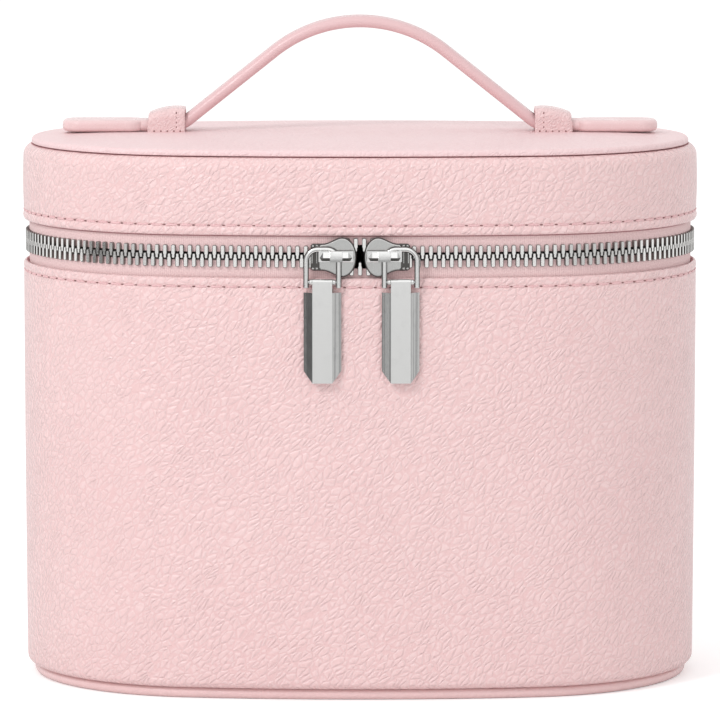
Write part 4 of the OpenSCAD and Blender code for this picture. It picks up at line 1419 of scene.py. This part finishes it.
@dataclass(frozen=True)
class Puller:
    """A slider with its bridge, wire link and faceted pull, in the slider's own frame."""

    plan: Plan
    z: Heights
    side: Side
    rest: float
    sway: float
    middle: float = 2.0
    plate_w: float = -0.45
    plate_t: float = 1.0
    back_w: float = -3.55
    nose_u: float = 2.7
    nose_wide: float = 4.3
    nose: float = 6.05
    tail: float = 4.1
    tail_u: float = -6.9
    front_tail: float = 3.8
    front_u: float = -4.3
    under_t: float = 0.55
    wedge: tuple[Point, ...] = ((3.4, 0.2), (4.4, 0.6), (5.4, 0.5))
    chips: tuple[Point, ...] = ((-6.5, 0.7), (-5.4, 0.8))
    chip_v: float = 3.4
    ribs: tuple[float, ...] = (-6.6, -5.2)
    lip_v: float = 3.85
    wire_r: float = 0.83
    wire_w: float = 1.6
    wire_end: float = -1.55
    post_u: float = -3.5
    post_r: float = 0.7
    far_u: float = 5.3
    bridge_v: float = 0.45
    bridge_w: float = 2.65
    bridge_half: float = 1.65
    bridge_t: float = 1.2
    hip: float = 0.42
    link_half: float = 4.95
    link_round: float = 3.6
    link_top: float = 2.52
    pin_v: float = -7.45
    pin_r: float = 0.45
    pin_l: float = 11.0
    collar_r: float = 0.85
    collar_l: float = 1.05
    pull_w: float = 11.4
    facet: float = 6.0
    pull_l: float = 30.7
    shoulder: float = 3.15
    tip_l: float = 3.6
    edge_t: float = 0.55
    pull_back: float = -1.15
    pull_front: float = 1.45

    @property
    def frame(self) -> Matrix:
        """The slider's frame: x along the zip towards the middle, y up, z out."""
        frame_at = self.plan.at(-self.rest, self.z.zip_z, self.middle)
        return Matrix.Diagonal((-1, 1, 1, 1)) @ frame_at if self.side is Side.RIGHT else frame_at

    @property
    def pin_frame(self) -> Matrix:
        """The frame of the pin: the slider's, moved to the middle of the link."""
        return self.frame @ shift(self.post_u + self.sway, self.pin_v, self.wire_w)

    def add(self, node: str, body: str, stuff: str, bm: BMesh, at: Matrix, finish: Finish = PULL_METAL,
            more: tuple[Finish, ...] = (), smooth: float = 38) -> None:
        """Places one piece of this side.

        Args:
            node: the solid that it stands for, without its side.
            body: the body that it rides on, without its side.
            stuff: what the piece's name adds to the solid's.
            bm: its mesh.
            at: the frame that it was made in.
            finish: its finish.
            more: its other finishes.
            smooth: the angle in degrees from which an edge stays sharp.
        """
        side = self.side.word
        Piece(f"{node}_{side}_{stuff}", f"{body}_{side}", finish, (f"{node}_{side}",), more,
              smooth).place(moved(bm, at))

    def outline(self, grow: float, tail: float, end: float) -> list[Point]:
        """The plate's outline: a round nose that curves in to a narrower tail.

        Args:
            grow: how much larger or smaller it is all round.
            tail: half the tail's height.
            end: where the tail ends.

        Returns:
            The outline's points.
        """
        heart, tall, steps = self.nose_u, self.nose + grow, 12
        turns = [math.radians(a) for a in range(-90, 91, 10)]
        nose = [(heart + (self.nose_wide + grow) * math.cos(a), tall * math.sin(a)) for a in turns]
        flank = [heart + (end + 0.5 - heart) * i / steps for i in range(1, steps + 1)]
        upper = [(u, tail + (tall - tail) * ease(1 - (heart - u) / 6.2) ** 1.15) for u in flank]
        upper.append((end, tail - 0.6))
        return [*nose, *upper, *[(upper[-1][0], -upper[-1][1])], *[(u, -v) for u, v in upper[-2::-1]]]

    def slider(self) -> None:
        """The slider's two plates, the wedge between them, and the chips, ribs and lips at its tail."""
        face, rear = self.plate_w, self.back_w
        wide = self.outline(0, self.tail, self.tail_u)
        # The under plate reaches out past the front plate and is all dark metal: painted shade and dark
        # reflection round the front plate and over the tail.
        under = paint(round_edges(slab(wide, face, face + self.under_t), 0.2, 1, 50), lambda f: True)
        upper = self.outline(-0.3, self.front_tail, self.front_u)
        front = round_edges(slab(upper, face + 0.3, face + 1.0), 0.22, 2, 50)
        back = round_edges(slab(wide, rear - self.plate_t, rear), 0.25, 2, 50)
        wedge = slab([*self.wedge, *[(u, -v) for u, v in self.wedge[::-1]]], rear, face)
        parts = [under, front, back, wedge]
        for v in (-self.chip_v, self.chip_v):
            for u, l in self.chips:
                chip = slab([(u, v - 0.4), (u + l, v - 0.25), (u + l, v + 0.25), (u, v + 0.4)],
                            face, face + 0.85)
                parts.append(round_edges(chip, 0.12, 1))
        ribs = [box(u, u + 0.35, -1.9, 1.9, face, face + 0.75) for u in self.ribs]
        lips = [box(-6.5, -1.4, v - 0.25, v + 0.25, low, high) for v in (-self.lip_v, self.lip_v)
                for low, high in ((-1.55, face + 0.1), (rear - 0.1, -2.45))]
        parts += [round_edges(part, 0.1, 1) for part in (*ribs, *lips)]
        self.add("slider", "slider", "cast", level_faces(joined(*parts), 2.0), self.frame, SLIDER_METAL,
                 (PAINTED_SHADE_METAL,), 32)

    def bridge(self) -> None:
        """The bridge over the slider: two posts and a bar with hipped, sloping ends."""
        u0, u1 = self.post_u - 0.9, self.far_u + 0.9
        half, w0, v = self.bridge_half, self.bridge_w, self.bridge_v
        w1 = w0 + self.bridge_t
        sill = round_edges(box(u0, u1, v - half, v + half, w0, w0 + 0.4), 0.1, 1)
        roof = box(u0 + 0.2, u1 - 0.2, v - half + 0.35, v + half - 0.15, w0 + 0.3, w1 - 0.1)
        ridge, heart = v - 0.35, (u0 + u1) / 2
        split(roof, (u0 + 1.35, 0, 0), (1, 0, 0))
        split(roof, (u1 - 1.6, 0, 0), (1, 0, 0))
        split(roof, (0, ridge, 0), (0, 1, 0))
        for vert in roof.verts:
            x, y, z = vert.co / MM
            if z > w1 - 0.2:
                vert.co.z -= (self.hip * abs(y - ridge) + (0.8 if min(x - u0, u1 - x) < 0.4 else 0)) * MM
        # The roof's lower faces are dark metal: painted shade and dark reflection under the ridge.
        paint(roof, lambda f: middle(f).y < ridge - 0.1)
        plate = box(heart - 1.95, heart + 1.95, v - half + 0.05, v + half - 0.05, w0 + 0.2, w1)
        round_edges(plate, 0.16, 2)
        posts = [moved(rod(self.post_r, w0 - 0.2, "Z"), shift(u, v, (0.3 + w0) / 2))
                 for u in (self.post_u - 0.2, self.far_u)]
        self.add("bridge", "slider", "bar", joined(joined(sill, roof, plate), *posts), self.frame,
                 more=(PAINTED_SHADE_METAL,), smooth=25)

    def link(self) -> None:
        """The wire link, with a bar behind the bridge, and the pin through its ends."""
        half, turn, top, r, end = (self.link_half, self.link_round, self.link_top - self.pin_v, self.wire_r,
                                   self.wire_end)
        sweep = Sweep(Vector(((-half + x) * MM, end * MM, y * MM)) for x, y in arc(0, 0, r, 0, 345, 23))
        sweep.straight((0, (top - turn - end) * MM, 0), 6)
        sweep.spin(((turn - half) * MM, (top - turn) * MM, 0), (0, 0, -1), math.pi / 2, 12)
        sweep.straight((2 * (half - turn) * MM, 0, 0), 2)
        sweep.spin(((half - turn) * MM, (top - turn) * MM, 0), (0, 0, -1), math.pi / 2, 12)
        sweep.straight((0, (end - top + turn) * MM, 0), 6)
        # The wire's flanks are dark metal: painted dark reflection that outlines the wire.
        wire = paint(sweep.sealed(), lambda f: abs(f.normal.z) < 0.62 and abs(f.normal.y) < 0.99)
        ends = [moved(rod(r, 0.4, "Y", 0.18), shift(x * half, end - 0.05, 0)) for x in (-1, 1)]
        self.add("link", "link", "wire", joined(wire, *ends), self.pin_frame, more=(PAINTED_SHADE_METAL,))
        self.add("pull_pin", "link", "rod", rod(self.pin_r, self.pin_l, "X", 0.15, 16), self.pin_frame)

    def pull(self) -> None:
        """The pull: a faceted bar with a cut tip, on a neck that turns on the pin."""
        w, f, tip = self.pull_w / 2, self.facet / 2, -self.pull_l
        back, front = self.pull_back, self.pull_front
        half = [(f, 1.0), (f, -self.shoulder), (w, -self.shoulder), (w, tip + self.tip_l), (f, tip)]
        bar = slab([*half, *[(-x, y) for x, y in half[::-1]]], back, front)
        for way in (-1, 1):
            split(bar, (way * f, 0, 0), (1, 0, 0))
        for vert in bar.verts:
            if vert.co.z > 0:
                vert.co.z -= max(0.0, abs(vert.co.x) / MM - f) / (w - f) * (front - back - self.edge_t) * MM

        def crosses(edge: BMEdge, inside: Callable[[Vector], bool]) -> bool:
            """Whether an edge runs across the bar with both its ends in some place."""
            a, b = (v.co / MM for v in edge.verts)
            return inside(a) and inside(b) and abs(a.x - b.x) > 1

        round_edges(bar, 0.8, 5, 60, lambda e: crosses(e, lambda co: co.y > 0.9))
        round_edges(bar, 0.55, 1, 60, lambda e: crosses(e, lambda co: co.y < tip + 3.7 and co.z > -1))
        # The sloping side facets get the streaked facet metal: painted dark reflection.
        paint(bar, lambda g: g.normal.z > 0.3 and abs(g.normal.x) > 0.2)
        round_edges(bar, 0.24, 2, 16, lambda e: e.calc_length() > 6 * MM)
        # A dark line along the facet's edge low on the bar and along the outer edges: painted shade and dark
        # reflection.
        paint(bar, lambda g: f < abs(middle(g).x) < f + 0.2 and middle(g).y < -4 and g.normal.z > 0.3, 2)
        paint(bar, lambda g: abs(middle(g).x) > w - 0.16, 2)
        collars = [moved(rod(self.collar_r, self.collar_l, "X", 0.22, 20), shift(x * (f + 0.5), 0, 0))
                   for x in (-1, 1)]
        self.add("pull", "pull", "bar", joined(bar, *collars), self.pin_frame,
                 more=(FACET_REFLECTION_METAL, PAINTED_SHADE_METAL), smooth=7)

    def build(self) -> None:
        """Builds the whole pull gear of one side."""
        for step in (self.slider, self.bridge, self.link, self.pull):
            step()


@dataclass(frozen=True)
class Handle:
    """The strap handle with its pads, and the two keepers that it slides in."""

    z: Heights
    width: float = 11.0
    thick: float = 3.6
    bend: float = 42.8
    crown_z: float = 204.0
    foot_r: float = 9.0
    foot_x: float = 58.7
    strap_z: float = 171.7
    flank: float = math.radians(38.48)
    sunk: float = 0.14
    skin: float = 0.95
    keeper_x: float = 54.4
    keeper_l: float = 11.4
    keeper_top: float = 177.5
    keeper_r: float = 2.6
    keeper_t: float = 1.2
    keeper_gap: float = 1.5
    keeper_dip: float = 2.1
    pad_x: float = 66.7
    pad_l: float = 26.0
    pad_w: float = 15.0
    pad_corner: float = 6.0

    def section(self, width: float, thick: float, x: float, z: float, tip: float) -> list[Vector]:
        """A strap's section: flat faces and round edges, across the strap's run.

        Args:
            width: its width.
            thick: its thickness.
            x: its place along the case.
            z: its height.
            tip: how much its faces are sunk between the edges.

        Returns:
            The section's points, in metres.
        """
        r, flat = thick / 2, (width - thick) / 2
        points = [*arc(flat, 0, r, -90, 90, 10), *[(flat * (1 - i / 3), r - tip) for i in range(1, 6)],
                  *arc(-flat, 0, r, 90, 270, 10), *[(flat * (-1 + i / 3), tip - r) for i in range(1, 6)]]
        return [Vector((x * MM, y * MM, (z + h) * MM)) for y, h in points]

    def strap(self, width: float, thick: float, tip: float) -> BMesh:
        """A strap along the handle's line.

        Args:
            width: its width.
            thick: its thickness.
            tip: how much its faces are sunk between the edges.

        Returns:
            The mesh.
        """
        sine, cosine = math.sin(self.flank), math.cos(self.flank)
        top_x, top_z = self.bend * sine, self.crown_z - self.bend * (1 - cosine)
        low_x, low_z = self.foot_x - self.foot_r * sine, self.strap_z + self.foot_r * (1 - cosine)
        flank_l = math.hypot(low_x - top_x, low_z - top_z)
        halves = []
        for way in (-1, 1):
            sweep = Sweep(self.section(width, thick, 0, self.crown_z, tip))
            sweep.spin((0, 0, (self.crown_z - self.bend) * MM), (0, way, 0), self.flank, 26)
            sweep.straight((way * cosine * flank_l * MM, 0, -sine * flank_l * MM), 12)
            sweep.spin((way * self.foot_x * MM, 0, (self.strap_z + self.foot_r) * MM), (0, -way, 0),
                       self.flank, 14)
            halves.append(sweep.bm)
        return sealed(joined(*halves))

    def cover(self) -> None:
        """The leather sleeve and the core in it."""
        inner = 2 * self.skin
        for name, finish, bm in (
                ("handle_cover", STRAP_LEATHER, self.strap(self.width, self.thick, self.sunk)),
                ("handle_core", CORE, self.strap(self.width - inner, self.thick - inner, 0))):
            strap = Piece(f"{name}_strap", "lid", finish, (name,)).place(bm)
            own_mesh(strap)

    def pad(self, side: Side) -> None:
        """The pad at one end of the strap, with its neck.

        Args:
            side: the side.
        """
        l, w, c, r = self.pad_l / 2, self.pad_w / 2, self.pad_corner, self.thick / 2
        outline = [*arc(l - c, w - c, c, 0, 90, 10), *arc(c - l, w - c, c, 90, 180, 10),
                   *arc(c - l, c - w, c, 180, 270, 10), *arc(l - c, c - w, c, 270, 360, 10)]
        body = round_edges(slab(outline, -r, r), r * 0.74, 7, 60)
        moved(body, shift(self.pad_x + l, 0, self.strap_z))
        neck = Sweep(self.section(self.width, self.thick, self.foot_x + 0.1, self.strap_z, 0.1))
        neck.straight(((self.pad_x + 3 - self.foot_x) * MM, 0, 0), 4)
        bm = moved(joined(body, neck.sealed()), Matrix.Diagonal((side.value, 1, 1, 1)))
        name = f"handle_pad_{side.word}"
        made = Piece(f"{name}_leather", f"handle_{side.word}", PAD_LEATHER, (name,)).place(bm)

    def loop(self) -> BMesh:
        """The keeper's leather, folded over the strap and pressed to its slope.

        Returns:
            The mesh.
        """
        outer, t, r, top = self.width / 2 + self.keeper_gap, self.keeper_t, self.keeper_r, self.keeper_top
        foot, deck, inner = self.z.lid_top - 1.1, self.z.deck_z, outer - t
        rises = (foot, foot + 2, top - r - 1.5)
        path = [*[(-outer, z) for z in rises], *arc(r - outer, top - r, r, 180, 90, 8), (0.0, top),
                *arc(outer - r, top - r, r, 90, 0, 8), *[(outer, z) for z in rises[::-1]],
                *[(inner, z) for z in rises], *arc(outer - r, top - r, r - t, 0, 90, 8), (0.0, top - t),
                *arc(r - outer, top - r, r - t, 90, 180, 8), *[(-inner, z) for z in rises[::-1]]]
        ring = [Vector((self.keeper_x * MM, y * MM, z * MM)) for y, z in path]
        bm = Sweep(ring).straight((self.keeper_l * MM, 0, 0), 14).sealed()
        sides = (self.keeper_x * MM, (self.keeper_x + self.keeper_l) * MM)
        round_edges(bm, 0.42, 3, 60,
                    lambda e: any(all(abs(v.co.x - x) < 1e-6 for v in e.verts) for x in sides))
        for vert in bm.verts:
            high = ease((vert.co.z / MM - deck) / (top - t - deck - 1))
            part = (vert.co.x / MM - self.keeper_x) / self.keeper_l
            vert.co.z -= (self.keeper_dip * part ** 2.4 + 0.4 * (1 - part) ** 5) * high * MM
            vert.co.y *= 1 + 0.03 * math.sin(math.pi * part) * high
            bulge = math.sin(math.pi * min(1.0, max(0.0, (vert.co.z / MM - foot) / 8.5)))
            vert.co.x += 0.5 * part ** 2 * bulge * MM
        return bm

    def keeper(self, side: Side) -> None:
        """The leather loop that the strap passes through, with its needle holes.

        Args:
            side: the side.
        """
        up, face = self.keeper_x + self.keeper_l * 0.24, -self.width / 2 - self.keeper_gap - 0.02
        holes = bmesh.new()
        low, high = self.z.deck_z + 0.35, self.keeper_top - 0.42
        # The needle holes are dark stamps: painted shade in the hollow of each hole.
        for stretch, places in (
                ((0.34, 0.3, 0.75), [(up, face, z) for z in (171.4, 172.9, 174.4, 175.8)]),
                ((0.6, 0.3, 0.5), [(self.keeper_x + x, face, low) for x in (1.5, 3.5, 5.5, 7.5, 9.6)]),
                ((0.34, 0.75, 0.3), [(up, y, high) for y in (-4, -2.2, -0.4, 1.4, 3.2)])):
            Stitching().hole(stretch).press(holes, (shift(*place) for place in places), 1)
        bm = moved(joined(self.loop(), holes), Matrix.Diagonal((side.value, 1, 1, 1)))
        name = f"keeper_{side.word}"
        Piece(f"{name}_loop", "lid", KEEPER_LEATHER, (name,), (NEEDLE_HOLE_SHADE,), 50).place(chart_box(bm))

    def build(self) -> None:
        """Builds the strap, its pads and its keepers."""
        self.cover()
        for side in Side:
            self.pad(side)
            self.keeper(side)


# ---- Studio ----


@dataclass(frozen=True)
class Card:
    """A card that only shines in the metal and the leather's gloss."""

    name: str
    place: tuple[float, float, float]
    size: tuple[float, float]
    turn: float
    shine: float
    lean: float = 90

    def build(self) -> None:
        """Stands the card beside the case."""
        bm = bmesh.new()
        stand = (Matrix.Translation(self.place) @ Matrix.Rotation(math.radians(self.turn), 4, "Z")
                 @ Matrix.Rotation(math.radians(self.lean), 4, "X"))
        bmesh.ops.create_grid(bm, x_segments=1, y_segments=1, size=0.5,
                              matrix=stand @ Matrix.Diagonal((*self.size, 1, 1)))
        card = hung(self.name, kept(self.name, bm, Nodes(self.name).finish(
            Base_Color=(0, 0, 0, 1), Roughness=1.0, Specular_IOR_Level=0.0,
            Emission_Color=(1, 1, 1, 1), Emission_Strength=self.shine)))
        card.visible_camera = card.visible_diffuse = card.visible_shadow = False


@dataclass(frozen=True)
class Studio:
    """The floor, the light and the camera. Lengths are in metres."""

    ambient: float = 0.90
    key: float = 6.0
    fill: float = 0.5
    floor: float = 0.9
    glow: float = 0.28
    lens: float = 308.1
    eye: tuple[float, float, float] = (0, -1.9185, 0.3193)
    pitch: float = 83.411

    def world(self) -> None:
        """White all round for the camera and for gloss, softer as light."""
        world = bpy.data.worlds.new("studio_white")
        bpy.context.scene.world = world
        world.use_nodes = True
        tree = world.node_tree
        seen, lit = tree.nodes["Background"], tree.nodes.new("ShaderNodeBackground")
        seen.inputs["Color"].default_value = lit.inputs["Color"].default_value = (1, 1, 1, 1)
        seen.inputs["Strength"].default_value = 1.0
        lit.inputs["Strength"].default_value = self.ambient
        path, either, every, mix = (tree.nodes.new(f"ShaderNode{kind}")
                                    for kind in ("LightPath", "Math", "Math", "MixShader"))
        either.operation = every.operation = "MAXIMUM"
        for start, end in ((path.outputs["Is Camera Ray"], either.inputs[0]),
                           (path.outputs["Is Glossy Ray"], either.inputs[1]),
                           (either.outputs[0], every.inputs[0]),
                           (path.outputs["Is Transmission Ray"], every.inputs[1]),
                           (every.outputs[0], mix.inputs[0]), (lit.outputs[0], mix.inputs[1]),
                           (seen.outputs[0], mix.inputs[2]),
                           (mix.outputs[0], tree.nodes["World Output"].inputs["Surface"])):
            tree.links.new(start, end)

    def ground(self) -> None:
        """A wide pale floor that shows white where nothing shades it."""
        bm = bmesh.new()
        bmesh.ops.create_grid(bm, x_segments=1, y_segments=1, size=6)
        n = Nodes("floor_paper")
        grain = n.noise(n.place(), 900, 2)
        glow = n.maths("MULTIPLY", n.add("LightPath", {}).outputs["Is Camera Ray"], self.glow)
        hung("floor", kept("floor", bm, n.finish(
            Base_Color=(self.floor, self.floor, self.floor, 1), Roughness=n.span(grain, 0, 1, 0.85, 0.95),
            Specular_IOR_Level=0.0, Emission_Color=(1, 1, 1, 1), Emission_Strength=glow)))

    def lamp(self, name: str, place: Sequence[float], aim: Sequence[float], size: float,
             watts: float) -> None:
        """Hangs a soft square lamp.

        Args:
            name: its name.
            place: where it hangs.
            aim: what it points at.
            size: its side, in metres.
            watts: its power.
        """
        light = bpy.data.lights.new(name, "AREA")
        light.energy, light.size = watts, size
        lamp = hung(name, light)
        lamp.location = place
        lamp.rotation_euler = (Vector(aim) - Vector(place)).to_track_quat("-Z", "Y").to_euler()

    def camera(self) -> None:
        """The camera at the photograph's distance, height and framing."""
        lens = bpy.data.cameras.new("camera")
        lens.sensor_width, lens.lens = 36.0, self.lens
        lens.clip_start, lens.clip_end = 0.05, 50
        camera = hung("camera", lens)
        camera.location = self.eye
        camera.rotation_euler = (math.radians(self.pitch), 0, 0)
        bpy.context.scene.camera = camera

    def build(self) -> None:
        """Sets up the floor, the light, the cards and the camera."""
        bpy.context.scene.view_settings.view_transform = "Standard"
        self.world()
        self.ground()
        self.lamp("key", (-0.75, -0.95, 1.0), (0, 0, 0.1), 0.32, self.key)
        self.lamp("fill", (0.1, -1.6, 0.9), (0, 0, 0.1), 1.0, self.fill)
        for card in (Card("dark_card", (-0.42, -0.14, 0.25), (0.12, 1.3), -90, 0.1),
                     Card("grey_card_left", (-0.42, -0.35, 0.25), (0.3, 1.3), -90, 0.55),
                     Card("grey_card_right", (0.42, -0.32, 0.25), (0.5, 1.3), 90, 0.55),
                     Card("grey_card_front", (0, -1.0, 0.006), (2.2, 0.86), 0, 0.71, 0),
                     Card("grey_card_low", (0, -0.34, 0.004), (0.9, 0.36), 0, 0.4, 0)):
            card.build()
        self.camera()


def main() -> None:
    """Builds the studio and every part of the case, and logs each piece's face count."""
    logging.basicConfig(level=logging.INFO, format="%(name)s: %(message)s")
    plan, heights = Plan(), Heights()
    Studio().build()
    Walls(plan, heights).build()
    Hinge(plan, heights).build()
    Zip(plan, heights).build()
    for side, rest, sway in ((Side.LEFT, 8.0, 0.2), (Side.RIGHT, 8.15, -0.6)):
        Puller(plan, heights, side, rest, sway).build()
    Handle(heights).build()


if __name__ == "__main__":
    main()
